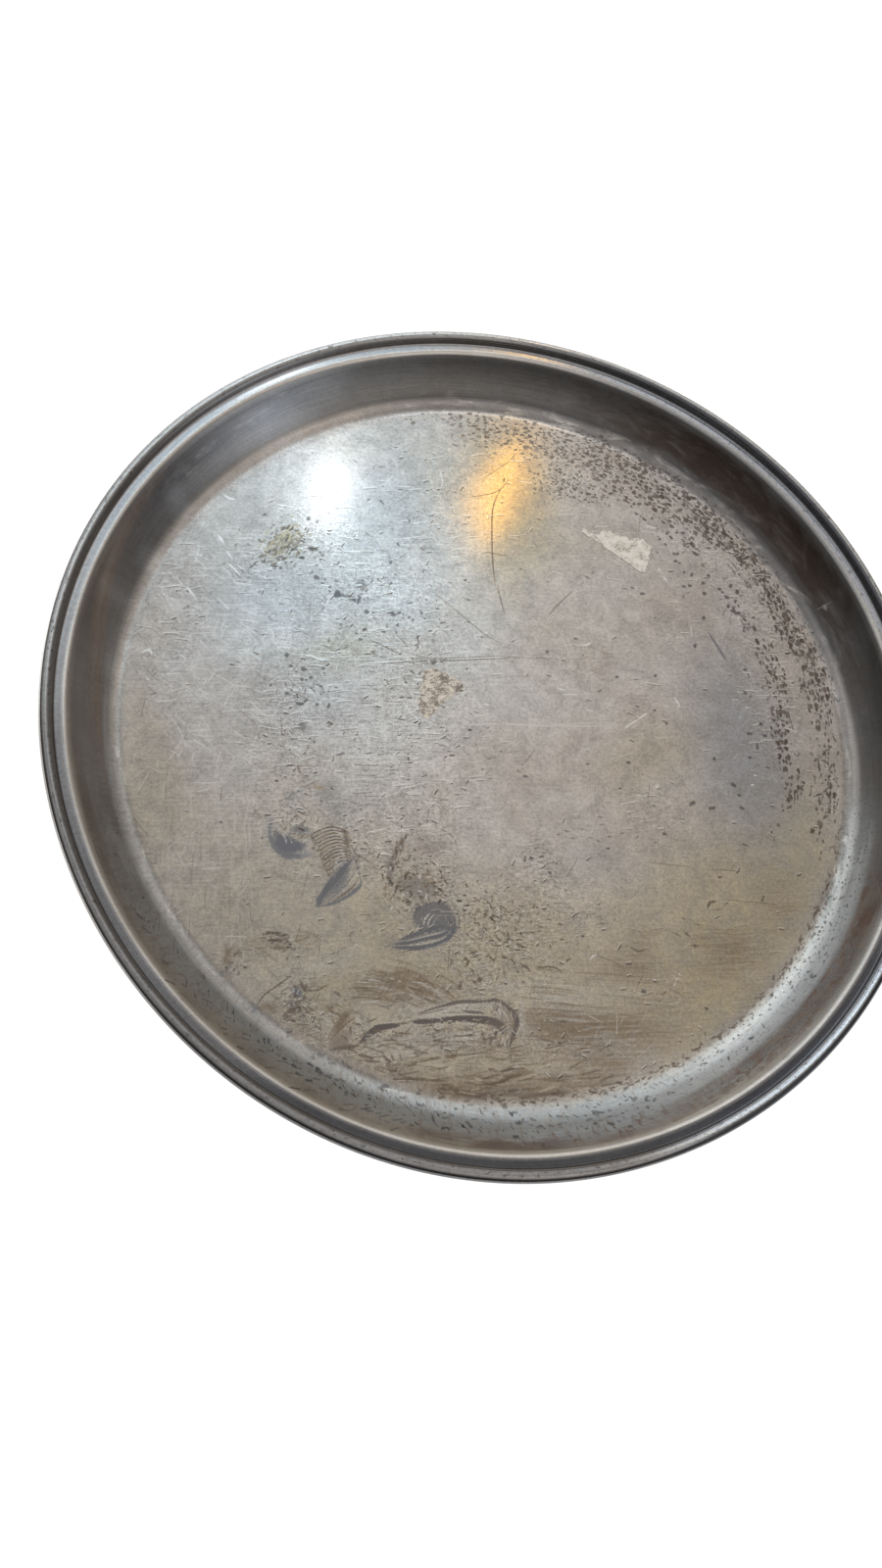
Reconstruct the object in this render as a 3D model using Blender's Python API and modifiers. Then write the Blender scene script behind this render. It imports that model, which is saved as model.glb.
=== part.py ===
"""Round deep-walled salver: a 12 inch tray spun from one disc of plated sheet.

The disc is spun into a flat floor, a coved flaring wall, a crest and a narrow
ledge, and its edge is curled over a wire to stiffen the rim. Two torn remains
of a paper label lie on the floor.

Metres, +Z up. The origin is the centre of the underside that the tray rests
on, and +Z is the axis that the tray was spun about.
"""

import math

import bpy

MM = 0.001

# ---- driving dimensions -------------------------------------------------
OUTER_RADIUS = 152.4 * MM      # over the rim: a 12 inch tray
SHEET = 0.9 * MM               # gauge of the sheet
FLOOR_RADIUS = 129.0 * MM      # flat part of the floor
COVE_RADIUS = 8.0 * MM         # inside fillet between floor and wall
WALL_ANGLE = math.radians(55)  # wall above the horizontal
CREST_RADIUS = 2.0 * MM        # over the top of the wall
CREST_HEIGHT = 15.65 * MM      # top of the crest above the rest plane
LEDGE_ANGLE = math.radians(3.7)
BEAD_RADIUS = 2.1 * MM         # outside radius of the curled rim
BEAD_HEIGHT = 17.7 * MM        # height of the wire's centre
CORNER_RADIUS = 0.5 * MM       # inside fillet where the ledge meets the bead
CURL_END = math.radians(-117)  # where the curled edge stops, under the bead
WIRE_RADIUS = 0.9 * MM
WIRE_JOINT = 1.0 * MM          # butt gap between the two ends of the wire
WIRE_JOINT_AT = math.radians(90)
PAPER = 0.15 * MM
CLEAR = 0.3 * MM               # between a piece and the one it lies against

STEPS = 72                     # facets round the tray

# ---- torn label outlines on the floor, in mm ----------------------------
# The long lower edge is the label's own cut edge; the others are torn.
LARGE_SCRAP = (
    (32.1, 80.8), (34.9, 78.7), (40.9, 74.8), (46.0, 71.3), (51.7, 67.6),
    (56.6, 65.0), (57.6, 68.6), (59.0, 73.0), (60.0, 76.6), (59.5, 80.2),
    (55.6, 79.2), (52.3, 78.7), (50.2, 80.6), (47.0, 81.5), (43.2, 80.7),
    (41.2, 82.0), (37.0, 80.6), (34.0, 81.9),
)
SMALL_SCRAP = (
    (-27.9, 17.6), (-29.0, 13.4), (-29.2, 9.3), (-30.0, 4.2), (-28.5, 0.1),
    (-26.1, -1.2), (-23.3, 1.2), (-21.4, 4.2), (-19.8, 6.0), (-16.0, 9.6),
    (-13.2, 12.5), (-17.0, 15.6), (-21.6, 17.4), (-24.6, 18.6),
)


def reset():
    for ob in list(bpy.data.objects):
        bpy.data.objects.remove(ob, do_unlink=True)


def material(name, colour, roughness, metallic):
    mat = bpy.data.materials.new(name)
    mat.use_nodes = True
    shader = mat.node_tree.nodes["Principled BSDF"]
    shader.inputs["Base Color"].default_value = (*colour, 1.0)
    shader.inputs["Roughness"].default_value = roughness
    shader.inputs["Metallic"].default_value = metallic
    mat.diffuse_color = (*colour, 1.0)
    return mat


def collection(name):
    group = bpy.data.collections.new(name)
    bpy.context.scene.collection.children.link(group)
    return group


def arc(centre, radius, start, end, steps):
    """Points on a circle from angle start to angle end, both included."""
    return [
        (
            centre[0] + radius * math.cos(start + (end - start) * i / steps),
            centre[1] + radius * math.sin(start + (end - start) * i / steps),
        )
        for i in range(steps + 1)
    ]


def tray_section():
    """The sheet's closed section as (radius, height): along its upper side
    from the axis to the rim, over the bead, and back along its underside."""
    right = math.pi / 2
    bead = (OUTER_RADIUS - BEAD_RADIUS, BEAD_HEIGHT)
    inner_face = bead[0] - BEAD_RADIUS

    # Ledge: a line at LEDGE_ANGLE between the crest and the bead's corner.
    crest_top = CREST_HEIGHT - CREST_RADIUS
    corner_r = inner_face - CORNER_RADIUS
    cove = (FLOOR_RADIUS, SHEET + COVE_RADIUS)
    cove_end = (
        cove[0] + COVE_RADIUS * math.sin(WALL_ANGLE),
        cove[1] - COVE_RADIUS * math.cos(WALL_ANGLE),
    )
    wall_top = crest_top + CREST_RADIUS * math.cos(WALL_ANGLE)
    run = (wall_top - cove_end[1]) / math.tan(WALL_ANGLE)
    crest = (cove_end[0] + run + CREST_RADIUS * math.sin(WALL_ANGLE), crest_top)

    ledge_start = (
        crest[0] - CREST_RADIUS * math.sin(LEDGE_ANGLE),
        crest[1] + CREST_RADIUS * math.cos(LEDGE_ANGLE),
    )
    ledge_end_r = corner_r + CORNER_RADIUS * math.sin(LEDGE_ANGLE)
    rise = (ledge_end_r - ledge_start[0]) * math.tan(LEDGE_ANGLE)
    corner = (
        corner_r,
        ledge_start[1] + rise + CORNER_RADIUS * math.cos(LEDGE_ANGLE),
    )

    cove_from, cove_to = -right, -right + WALL_ANGLE
    crest_from, crest_to = right + WALL_ANGLE, right + LEDGE_ANGLE
    corner_from, corner_to = -right + LEDGE_ANGLE, 0.0
    bead_from = math.pi

    upper = [(0.0, SHEET)]
    upper += arc(cove, COVE_RADIUS, cove_from, cove_to, 6)
    upper += arc(crest, CREST_RADIUS, crest_from, crest_to, 4)
    upper += arc(corner, CORNER_RADIUS, corner_from, corner_to, 2)
    upper += arc(bead, BEAD_RADIUS, bead_from, 0.0, 8)
    upper += arc(bead, BEAD_RADIUS, 0.0, CURL_END, 5)[1:]

    under = arc(bead, BEAD_RADIUS - SHEET, CURL_END, 0.0, 4)
    under += arc(bead, BEAD_RADIUS - SHEET, 0.0, bead_from, 6)[1:]
    under += arc(corner, CORNER_RADIUS + SHEET, corner_to, corner_from, 3)
    under += arc(crest, CREST_RADIUS - SHEET, crest_to, crest_from, 3)
    under += arc(cove, COVE_RADIUS + SHEET, cove_to, cove_from, 6)
    under += [(0.0, 0.0)]
    return upper + under


def add_tray_body(group):
    section = tray_section()
    mesh = bpy.data.meshes.new("tray_body")
    mesh.from_pydata(
        [(r, 0.0, z) for r, z in section],
        [(i, i + 1) for i in range(len(section) - 1)],
        [],
    )
    ob = bpy.data.objects.new("tray_body", mesh)
    group.objects.link(ob)
    screw = ob.modifiers.new("spin", "SCREW")
    screw.axis = "Z"
    screw.angle = 2 * math.pi
    screw.screw_offset = 0.0
    screw.steps = STEPS
    screw.render_steps = STEPS
    screw.use_merge_vertices = True
    screw.merge_threshold = 0.00001
    screw.use_smooth_shade = True
    screw.use_normal_calculate = False
    ob.data.materials.append(
        material("plated_sheet", (0.33, 0.31, 0.29), 0.38, 1.0)
    )
    return ob


def add_rim_wire(group):
    """A round wire bent into a ring inside the curl, its two ends meeting at
    an open butt joint."""
    radius = OUTER_RADIUS - BEAD_RADIUS
    half = WIRE_JOINT / 2 / radius
    start, end = WIRE_JOINT_AT + half, WIRE_JOINT_AT + 2 * math.pi - half
    # The points between the ends share the tray's facets.
    first = math.ceil(start / (2 * math.pi / STEPS) - 1e-9)
    last = math.floor(end / (2 * math.pi / STEPS) + 1e-9)
    angles = [start] + [i * 2 * math.pi / STEPS for i in range(first, last + 1)]
    angles.append(end)

    curve = bpy.data.curves.new("rim_wire", "CURVE")
    curve.dimensions = "3D"
    curve.twist_mode = "Z_UP"
    line = curve.splines.new("POLY")
    line.points.add(len(angles) - 1)
    for point, a in zip(line.points, angles):
        point.co = (radius * math.cos(a), radius * math.sin(a), 0.0, 1.0)
    curve.bevel_depth = WIRE_RADIUS
    curve.bevel_resolution = 2
    curve.use_fill_caps = True
    ob = bpy.data.objects.new("rim_wire", curve)
    ob.location = (0.0, 0.0, BEAD_HEIGHT)
    group.objects.link(ob)
    curve.materials.append(
        material("rim_wire_steel", (0.30, 0.29, 0.28), 0.5, 1.0)
    )
    return ob


def add_scrap(group, name, outline, colour):
    """A flat torn piece of paper of the given outline, lying on the floor."""
    centre = (
        sum(p[0] for p in outline) / len(outline) * MM,
        sum(p[1] for p in outline) / len(outline) * MM,
    )
    curve = bpy.data.curves.new(name, "CURVE")
    curve.dimensions = "2D"
    curve.fill_mode = "BOTH"
    curve.extrude = PAPER / 2
    line = curve.splines.new("POLY")
    line.points.add(len(outline) - 1)
    for point, (x, y) in zip(line.points, outline):
        point.co = (x * MM - centre[0], y * MM - centre[1], 0.0, 1.0)
    line.use_cyclic_u = True
    ob = bpy.data.objects.new(name, curve)
    ob.location = (*centre, SHEET + CLEAR + PAPER / 2)
    group.objects.link(ob)
    curve.materials.append(material(name + "_paper", colour, 0.85, 0.0))
    return ob


def main():
    reset()
    group = collection("salver")
    parts = [
        add_tray_body(group),
        add_rim_wire(group),
        add_scrap(group, "label_scrap_large", LARGE_SCRAP, (0.62, 0.60, 0.50)),
        add_scrap(group, "label_scrap_small", SMALL_SCRAP, (0.48, 0.44, 0.36)),
    ]
    # One empty at the centre of the underside carries every piece.
    root = bpy.data.objects.new("salver_frame", None)
    root.empty_display_size = 0.05
    group.objects.link(root)
    for ob in parts:
        ob.parent = root


main()
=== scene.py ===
"""Looks of the round salver: a worn, tarnished plated tray, seen from above on
a pale floor. Metres, +Z up, in the frame of the CAD model. Places on the tray
are given in millimetres, x to the right and y away."""

import math

import bpy
import numpy as np
from mathutils import Matrix, Vector


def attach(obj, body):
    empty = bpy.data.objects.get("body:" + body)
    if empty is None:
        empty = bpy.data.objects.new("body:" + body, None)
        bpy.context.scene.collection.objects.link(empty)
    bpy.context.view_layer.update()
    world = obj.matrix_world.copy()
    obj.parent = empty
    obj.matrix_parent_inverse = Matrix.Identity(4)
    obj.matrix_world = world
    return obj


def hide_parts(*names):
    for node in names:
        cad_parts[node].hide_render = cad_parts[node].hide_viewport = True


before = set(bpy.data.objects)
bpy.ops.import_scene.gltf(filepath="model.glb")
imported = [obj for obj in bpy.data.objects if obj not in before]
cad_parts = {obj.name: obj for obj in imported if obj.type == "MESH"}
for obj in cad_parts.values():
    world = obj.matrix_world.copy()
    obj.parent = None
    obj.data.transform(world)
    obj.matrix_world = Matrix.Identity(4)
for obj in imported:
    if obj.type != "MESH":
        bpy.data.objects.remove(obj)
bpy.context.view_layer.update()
MM = 0.001
SHEET = 0.9            # mm, gauge of the sheet
SEGMENTS = 512         # steps round the tray, a multiple of 4

# ------------------------------------------------------------------ camera
# The photograph was taken from above and a little in front of the tray.
CAM_AT = Vector((-0.091968, -0.160816, 0.365904))
CAM_AHEAD = Vector((0.178008, 0.344374, -0.921802)).normalized()
CAM_UP = Vector((-0.065295, 0.938832, 0.338127))


def add_camera():
    data = bpy.data.cameras.new("camera")
    data.sensor_width = 36.0
    data.sensor_fit = "AUTO"
    data.lens = 27.0
    data.clip_start = 0.01
    data.clip_end = 50.0
    ob = bpy.data.objects.new("camera", data)
    right = CAM_AHEAD.cross(CAM_UP).normalized()
    up = right.cross(CAM_AHEAD)
    m = Matrix((right, up, -CAM_AHEAD)).transposed().to_4x4()
    m.translation = CAM_AT
    ob.matrix_world = m
    bpy.context.scene.collection.objects.link(ob)
    bpy.context.scene.camera = ob
    return ob


# ---------------------------------------------------- the tray's section, mm
def arc(centre, radius, start, end, steps):
    return [
        (
            centre[0] + radius * math.cos(start + (end - start) * i / steps),
            centre[1] + radius * math.sin(start + (end - start) * i / steps),
        )
        for i in range(steps + 1)
    ]


def line(a, b, steps):
    """Points between a and b, without either end."""
    return [
        (a[0] + (b[0] - a[0]) * i / steps, a[1] + (b[1] - a[1]) * i / steps)
        for i in range(1, steps)
    ]


def section():
    """The sheet's section (radius, height) in mm: the upper side from near the
    axis outward, over the bead, and the underside back towards the axis."""
    right, wall = math.pi / 2, math.radians(52)
    ledge_a, curl_end = math.radians(3.7), math.radians(-117)
    bead, bead_r = (150.3, 17.7), 2.1
    cove, cove_r = (128.4, SHEET + 8.0), 8.0
    crest, crest_r = (145.4, 14.3), 2.0
    # The wall steepens a little on its way up.
    foot, brow = wall - math.radians(6), wall + math.radians(6)

    def wall_line(cove_r, crest_r, steps):
        a = (cove[0] + cove_r * math.sin(foot), cove[1] - cove_r * math.cos(foot))
        b = (crest[0] - crest_r * math.sin(brow), crest[1] + crest_r * math.cos(brow))
        cut = (b[1] - a[1] - math.tan(brow) * (b[0] - a[0])) / (math.tan(foot) - math.tan(brow))
        c = (a[0] + cut, a[1] + cut * math.tan(foot))
        out = []
        for i in range(1, steps):
            t = i / steps
            out.append(tuple((1 - t) ** 2 * a[k] + 2 * t * (1 - t) * c[k] + t * t * b[k] for k in (0, 1)))
        return out
    corner_r = 0.5
    cx = bead[0] - bead_r - corner_r
    start = (
        crest[0] - crest_r * math.sin(ledge_a),
        crest[1] + crest_r * math.cos(ledge_a),
    )
    rise = (cx + corner_r * math.sin(ledge_a) - start[0]) * math.tan(ledge_a)
    corner = (cx, start[1] + rise + corner_r * math.cos(ledge_a))

    def joined(parts, gaps):
        out = list(parts[0])
        for part, steps in zip(parts[1:], gaps):
            out += line(out[-1], part[0], steps) + list(part)
        return out

    floor = [(r, SHEET) for r in np.linspace(1.6, 127.4, 79)]
    upper = joined(
        [
            floor,
            arc(cove, cove_r, -right, -right + foot, 9) + wall_line(cove_r, crest_r, 8),
            arc(crest, crest_r, right + brow, right + ledge_a, 6),
            arc(corner, corner_r, -right + ledge_a, 0.0, 3),
            arc(bead, bead_r, math.pi, curl_end, 22),
        ],
        [1, 1, 3, 1],
    )
    under_floor = [(r, 0.0) for r in np.linspace(127.0, 4.0, 22)]
    under = joined(
        [
            arc(bead, bead_r - SHEET, curl_end, math.pi, 10),
            arc(corner, corner_r + SHEET, 0.0, -right + ledge_a, 4),
            arc(crest, crest_r - SHEET, right + ledge_a, right + brow, 4),
            wall_line(cove_r + SHEET, crest_r - SHEET, 6)[::-1] + arc(cove, cove_r + SHEET, -right + foot, -right, 8),
            under_floor,
        ],
        [1, 2, 1, 1],
    )
    return upper, under


def unround(angle, radius):
    """How far the tray has been knocked out of round: a factor on the radius."""
    rim = np.clip((radius - 90.0) / 55.0, 0.0, 1.0) ** 2
    three = np.cos(3 * (angle - math.radians(22))) - 1
    return 1 + rim * 0.0040 * three


def waves(x, y):
    """Slow unevenness of a spun floor, about -1 to 1 over x and y in mm."""
    return (
        0.45 * np.sin(x * 0.031 + 1.3) * np.cos(y * 0.027 - 0.4)
        + 0.30 * np.sin(x * 0.059 - y * 0.047 + 2.1)
        + 0.20 * np.sin(x * 0.083 + y * 0.101 + 0.7)
        + 0.12 * np.sin(-x * 0.171 + y * 0.143 + 4.0)
    )


def turned(profile, angles):
    """Vertices of every profile point at every angle, in mm, with the tray's
    unevenness. Rows are profile points."""
    r = np.array([p[0] for p in profile])[:, None]
    z = np.array([p[1] for p in profile])[:, None]
    a = angles[None, :]
    k = r * unround(a, r)
    x, y = k * np.cos(a), k * np.sin(a)
    # The floor rises and falls a little, and stands on its edge at r = 125.
    inside = np.clip(1 - (r / 124.0) ** 4, 0.0, 1.0)
    lift = inside * (0.16 + 0.10 * waves(x, y))
    # The rim is not quite level.
    level = np.clip((z - 1.0) / 18.8, 0.0, 1.0)
    dip = level * 0.20 * (np.cos(2 * (a - math.radians(17))) - 1)
    return np.stack([x, y, z + lift + dip], -1)


def add_tray():
    upper, under = section()
    angles = np.arange(SEGMENTS) * 2 * math.pi / SEGMENTS
    rows = turned(upper + under, angles)
    n, up = len(rows), len(upper)
    centre = np.array([[0, 0, SHEET], [0, 0, 0.0]])
    lift = 0.16 + 0.10 * float(waves(0.0, 0.0))
    centre[:, 2] += lift
    verts = np.concatenate([rows.reshape(-1, 3), centre]) * MM
    top, bottom = n * SEGMENTS, n * SEGMENTS + 1
    j = np.arange(SEGMENTS)
    k = (j + 1) % SEGMENTS
    faces = [(top, a, b) for a, b in zip(j.tolist(), k.tolist())]
    for i in range(n - 1):
        a, b = i * SEGMENTS, (i + 1) * SEGMENTS
        faces += np.stack([a + j, b + j, b + k, a + k], -1).tolist()
    last = (n - 1) * SEGMENTS
    faces += [(last + a, bottom, last + b) for a, b in zip(j.tolist(), k.tolist())]
    mesh = bpy.data.meshes.new("tray_shell")
    mesh.from_pydata(verts.tolist(), [], faces)
    mesh.shade_smooth()

    # A flat map for the export: the upper side is one disc laid out by its
    # length along the section, and the underside is a quarter disc in each
    # corner of the square.
    def lengths(points):
        p = np.array(points)
        step = np.hypot(*(p[1:] - p[:-1]).T)
        return np.concatenate([[0], np.cumsum(step)])

    along = np.zeros(n)
    along[:up] = upper[0][0] + lengths(upper)
    back = lengths(under)
    along[up:] = under[-1][0] + back[-1] - back
    scale_up, scale_under = 0.494 / along[up - 1], 0.196 / along[up]
    uv = np.zeros((len(mesh.loops), 2))
    loop_vertex = np.zeros(len(mesh.loops), np.int32)
    mesh.loops.foreach_get("vertex_index", loop_vertex)
    starts = np.zeros(len(mesh.polygons), np.int32)
    totals = np.zeros(len(mesh.polygons), np.int32)
    mesh.polygons.foreach_get("loop_start", starts)
    mesh.polygons.foreach_get("loop_total", totals)
    face_of = np.repeat(np.arange(len(starts)), totals)
    # The faces come in the order they were made: which row and which step.
    face_row = np.concatenate(
        [np.full(SEGMENTS, -1), np.repeat(np.arange(n - 1), SEGMENTS), np.full(SEGMENTS, n - 1)]
    )
    face_step = np.tile(j, n + 1)
    row = np.where(loop_vertex >= n * SEGMENTS, -1, loop_vertex // SEGMENTS)
    step = loop_vertex % SEGMENTS
    f_row, f_step = face_row[face_of], face_step[face_of]
    step = np.where((step == 0) & (f_step == SEGMENTS - 1), SEGMENTS, step)
    step = np.where(row < 0, f_step, step)
    ang = step * 2 * math.pi / SEGMENTS
    dist = np.where(row < 0, 0.0, along[np.maximum(row, 0)])
    is_up = f_row < up - 1
    rad = dist * scale_up
    uv[:, 0] = np.where(is_up, 0.5 + rad * np.cos(ang), 0)
    uv[:, 1] = np.where(is_up, 0.5 + rad * np.sin(ang), 0)
    # The band between the two sides at the curl's edge goes with the underside.
    quarter = f_step // (SEGMENTS // 4)
    cx = np.array([1.0, 0.0, 0.0, 1.0])[quarter]
    cy = np.array([1.0, 1.0, 0.0, 0.0])[quarter]
    far = np.where(row == up - 1, along[up] + 1.0, dist)
    rad = far * scale_under
    turn = ang + math.pi
    inset = 0.002
    ux = cx + rad * np.cos(turn) + np.where(cx > 0.5, -inset, inset)
    uy = cy + rad * np.sin(turn) + np.where(cy > 0.5, -inset, inset)
    uv[:, 0] = np.where(is_up, uv[:, 0], ux)
    uv[:, 1] = np.where(is_up, uv[:, 1], uy)
    layer = mesh.uv_layers.new(name="OFBake")
    layer.uv.foreach_set("vector", uv.astype(np.float32).ravel())

    # The second material is the underside's.
    mesh.polygons.foreach_set("material_index", np.where(face_row < up - 1, 0, 1).astype(np.int32))
    # Corners, in x and y, of each four-sided face of the upper side.
    flat = rows[:up, :, :2]
    turned_on = np.roll(flat, -1, 1)
    corners = np.stack([flat[:-1], flat[1:], turned_on[1:], turned_on[:-1]], 2)
    add_marks(mesh, SEGMENTS, corners.reshape(-1, 4, 2))
    ob = bpy.data.objects.new("tray_shell", mesh)
    bpy.context.scene.collection.objects.link(ob)
    return ob, rows, along, up


def add_wire():
    """The wire inside the rim, an open ring with rounded, cut ends."""
    half = 0.5 / 150.3
    angles = np.linspace(math.pi / 2 + half, math.pi * 2.5 - half, 361)
    sides = 16
    verts, faces = [], []
    k = unround(angles, np.full_like(angles, 150.3))
    dip = 0.89 * 0.20 * (np.cos(2 * (angles - math.radians(17))) - 1)
    for a, s, dz in zip(angles, k, dip):
        for i in range(sides):
            t = 2 * math.pi * i / sides
            r = 150.3 * s + 0.9 * math.cos(t)
            verts.append((r * math.cos(a) * MM, r * math.sin(a) * MM, (17.7 + dz + 0.9 * math.sin(t)) * MM))
    count = len(angles)
    for i in range(count - 1):
        for t in range(sides):
            u = (t + 1) % sides
            faces.append((i * sides + t, (i + 1) * sides + t, (i + 1) * sides + u, i * sides + u))
    faces.append(tuple(range(sides)))
    faces.append(tuple((count - 1) * sides + t for t in reversed(range(sides))))
    mesh = bpy.data.meshes.new("rim_wire_ring")
    mesh.from_pydata(verts, [], faces)
    mesh.shade_smooth()
    mesh.set_sharp_from_angle(angle=math.radians(50))
    ob = bpy.data.objects.new("rim_wire_ring", mesh)
    bpy.context.scene.collection.objects.link(ob)
    return ob


# ------------------------------------------------------------- node trees
class Sock:
    """A node's output that takes part in sums."""

    def __init__(self, graph, out):
        self.graph, self.out = graph, out

    def _math(self, op, *args, **kw):
        return self.graph.math(op, *args, **kw)

    def __add__(self, o): return self._math("ADD", self, o)
    def __radd__(self, o): return self._math("ADD", self, o)
    def __sub__(self, o): return self._math("SUBTRACT", self, o)
    def __rsub__(self, o): return self._math("SUBTRACT", o, self)
    def __mul__(self, o): return self._math("MULTIPLY", self, o)
    def __rmul__(self, o): return self._math("MULTIPLY", self, o)
    def __truediv__(self, o): return self._math("DIVIDE", self, o)
    def __neg__(self): return self._math("MULTIPLY", self, -1.0)
    def __pow__(self, o): return self._math("POWER", self, o)


class Graph:
    """Writes a node tree as expressions."""

    def __init__(self, tree):
        self.tree = tree
        self.count = 0

    def node(self, kind, **settings):
        n = self.tree.nodes.new(kind)
        for key, value in settings.items():
            setattr(n, key, value)
        n.location = (-200 * (self.count % 40), -160 * (self.count // 40))
        self.count += 1
        return n

    def put(self, socket, value):
        if isinstance(value, Sock):
            self.tree.links.new(value.out, socket)
        elif value is not None:
            if hasattr(socket.default_value, "__len__") and not hasattr(value, "__len__"):
                value = [value] * len(socket.default_value)
            if hasattr(value, "__len__") and len(value) == 3 and len(socket.default_value) == 4:
                value = (*value, 1.0)
            socket.default_value = value

    def math(self, op, a, b=None, c=None, clamp=False):
        n = self.node("ShaderNodeMath", operation=op, use_clamp=clamp)
        for socket, value in zip(n.inputs, (a, b, c)):
            if value is not None:
                self.put(socket, value)
        return Sock(self, n.outputs[0])

    def vec(self, op, a, b=None, scale=None):
        n = self.node("ShaderNodeVectorMath", operation=op)
        self.put(n.inputs[0], a)
        if b is not None:
            self.put(n.inputs[1], b)
        if scale is not None:
            self.put(n.inputs["Scale"], scale)
        which = 1 if op in ("LENGTH", "DISTANCE", "DOT_PRODUCT") else 0
        return Sock(self, n.outputs[which])

    def clamp(self, a):
        return self.math("ADD", a, 0.0, clamp=True)

    def max(self, a, b):
        return self.math("MAXIMUM", a, b)

    def min(self, a, b):
        return self.math("MINIMUM", a, b)

    def join(self, x, y, z=0.0):
        n = self.node("ShaderNodeCombineXYZ")
        for socket, value in zip(n.inputs, (x, y, z)):
            self.put(socket, value)
        return Sock(self, n.outputs[0])

    def split(self, v):
        n = self.node("ShaderNodeSeparateXYZ")
        self.put(n.inputs[0], v)
        return [Sock(self, o) for o in n.outputs]

    def split_colour(self, v):
        n = self.node("ShaderNodeSeparateColor")
        self.put(n.inputs[0], v)
        return [Sock(self, o) for o in n.outputs]

    def attribute(self, name):
        n = self.node("ShaderNodeAttribute", attribute_name=name)
        return Sock(self, n.outputs["Vector"])

    def value(self, name):
        n = self.node("ShaderNodeAttribute", attribute_name=name)
        return Sock(self, n.outputs["Fac"])

    def noise(self, vector, scale=1.0, detail=2.0, rough=0.5, distort=0.0, colour=False):
        n = self.node("ShaderNodeTexNoise", noise_dimensions="3D")
        self.put(n.inputs["Vector"], vector)
        for key, value in (("Scale", scale), ("Detail", detail), ("Roughness", rough), ("Distortion", distort)):
            self.put(n.inputs[key], value)
        return Sock(self, n.outputs["Color" if colour else "Fac"])

    def cells(self, vector, scale=1.0, random=1.0, feature="F1"):
        """Distance to the nearest point, and that cell's random colour."""
        n = self.node("ShaderNodeTexVoronoi", voronoi_dimensions="2D", feature=feature)
        self.put(n.inputs["Vector"], vector)
        self.put(n.inputs["Scale"], scale)
        self.put(n.inputs["Randomness"], random)
        return Sock(self, n.outputs["Distance"]), Sock(self, n.outputs["Color"])

    def step(self, x, a, b, low=0.0, high=1.0, smooth=True):
        """low where x is a, high where x is b, eased between."""
        n = self.node(
            "ShaderNodeMapRange",
            interpolation_type="SMOOTHSTEP" if smooth else "LINEAR",
            clamp=True,
        )
        for socket, value in zip(n.inputs, (x, a, b, low, high)):
            self.put(socket, value)
        return Sock(self, n.outputs[0])

    def mix(self, factor, a, b):
        n = self.node("ShaderNodeMix", data_type="VECTOR")
        n.clamp_factor = True
        self.put(n.inputs["Factor"], factor)
        self.put(n.inputs[4], a)
        self.put(n.inputs[5], b)
        return Sock(self, n.outputs[1])

    def blend(self, factor, a, b):
        n = self.node("ShaderNodeMix", data_type="FLOAT")
        n.clamp_factor = True
        self.put(n.inputs["Factor"], factor)
        self.put(n.inputs[2], a)
        self.put(n.inputs[3], b)
        return Sock(self, n.outputs[0])

    def tint(self, colour, factor):
        """A colour times a number."""
        return self.vec("SCALE", colour, scale=factor)

    def turned(self, v, degrees, stretch):
        """2D coordinates turned by an angle, then squeezed along the new x."""
        a = math.radians(degrees)
        x, y, _ = v
        return self.join(
            (x * math.cos(a) + y * math.sin(a)) * stretch[0],
            (y * math.cos(a) - x * math.sin(a)) * stretch[1],
        )


def new_material(name):
    mat = bpy.data.materials.new(name)
    mat.use_nodes = True
    graph = Graph(mat.node_tree)
    shader = mat.node_tree.nodes["Principled BSDF"]
    return mat, graph, shader


def set_shader(graph, shader, colour, rough, metal, height=None, depth=None, strength=1.0):
    """Sockets of the shader: links where the value is patterned."""
    graph.put(shader.inputs["Base Color"], colour)
    graph.put(shader.inputs["Roughness"], rough)
    graph.put(shader.inputs["Metallic"], metal)
    if height is not None:
        n = graph.node("ShaderNodeBump")
        n.inputs["Strength"].default_value = strength
        n.inputs["Distance"].default_value = depth
        graph.put(n.inputs["Height"], height)
        graph.tree.links.new(n.outputs["Normal"], shader.inputs["Normal"])


# --------------------------------------------------- marks placed one by one
# Colours of marks, linear. BRIGHT also serves for painted highlights and glints, PALE for painted highlights beside
# pits, and UMBER for painted shade beside light scratches.
INK = (0.115, 0.108, 0.112)       # blue-black tarnish
UMBER = (0.165, 0.125, 0.095)     # brown tarnish
SEPIA = (0.27, 0.205, 0.145)      # thin brown tarnish
SLATE = (0.24, 0.245, 0.26)       # thin blue-grey tarnish
BRIGHT = (0.92, 0.90, 0.86)       # bare, freshly scraped metal
PALE = (0.74, 0.71, 0.66)         # worn plate
SLOTS = 11                        # marks that one face of the mesh can hold


def smooth_path(points, step=1.3):
    """A polyline through the points, rounded as a Catmull-Rom curve."""
    p = np.array(points, float)
    if len(p) == 2:
        return np.array([p[0], (p[0] + p[1]) / 2, p[1]])
    ends = np.concatenate([[2 * p[0] - p[1]], p, [2 * p[-1] - p[-2]]])
    out = [p[0]]
    for i in range(len(p) - 1):
        a, b, c, d = ends[i : i + 4]
        n = max(1, int(round(np.hypot(*(c - b)) / step)))
        for k in range(1, n + 1):
            t = k / n
            out.append(
                0.5 * (2 * b + (c - a) * t + (2 * a - 5 * b + 4 * c - d) * t * t
                       + (3 * b - a - 3 * c + d) * t ** 3)
            )
    return np.array(out)


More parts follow.
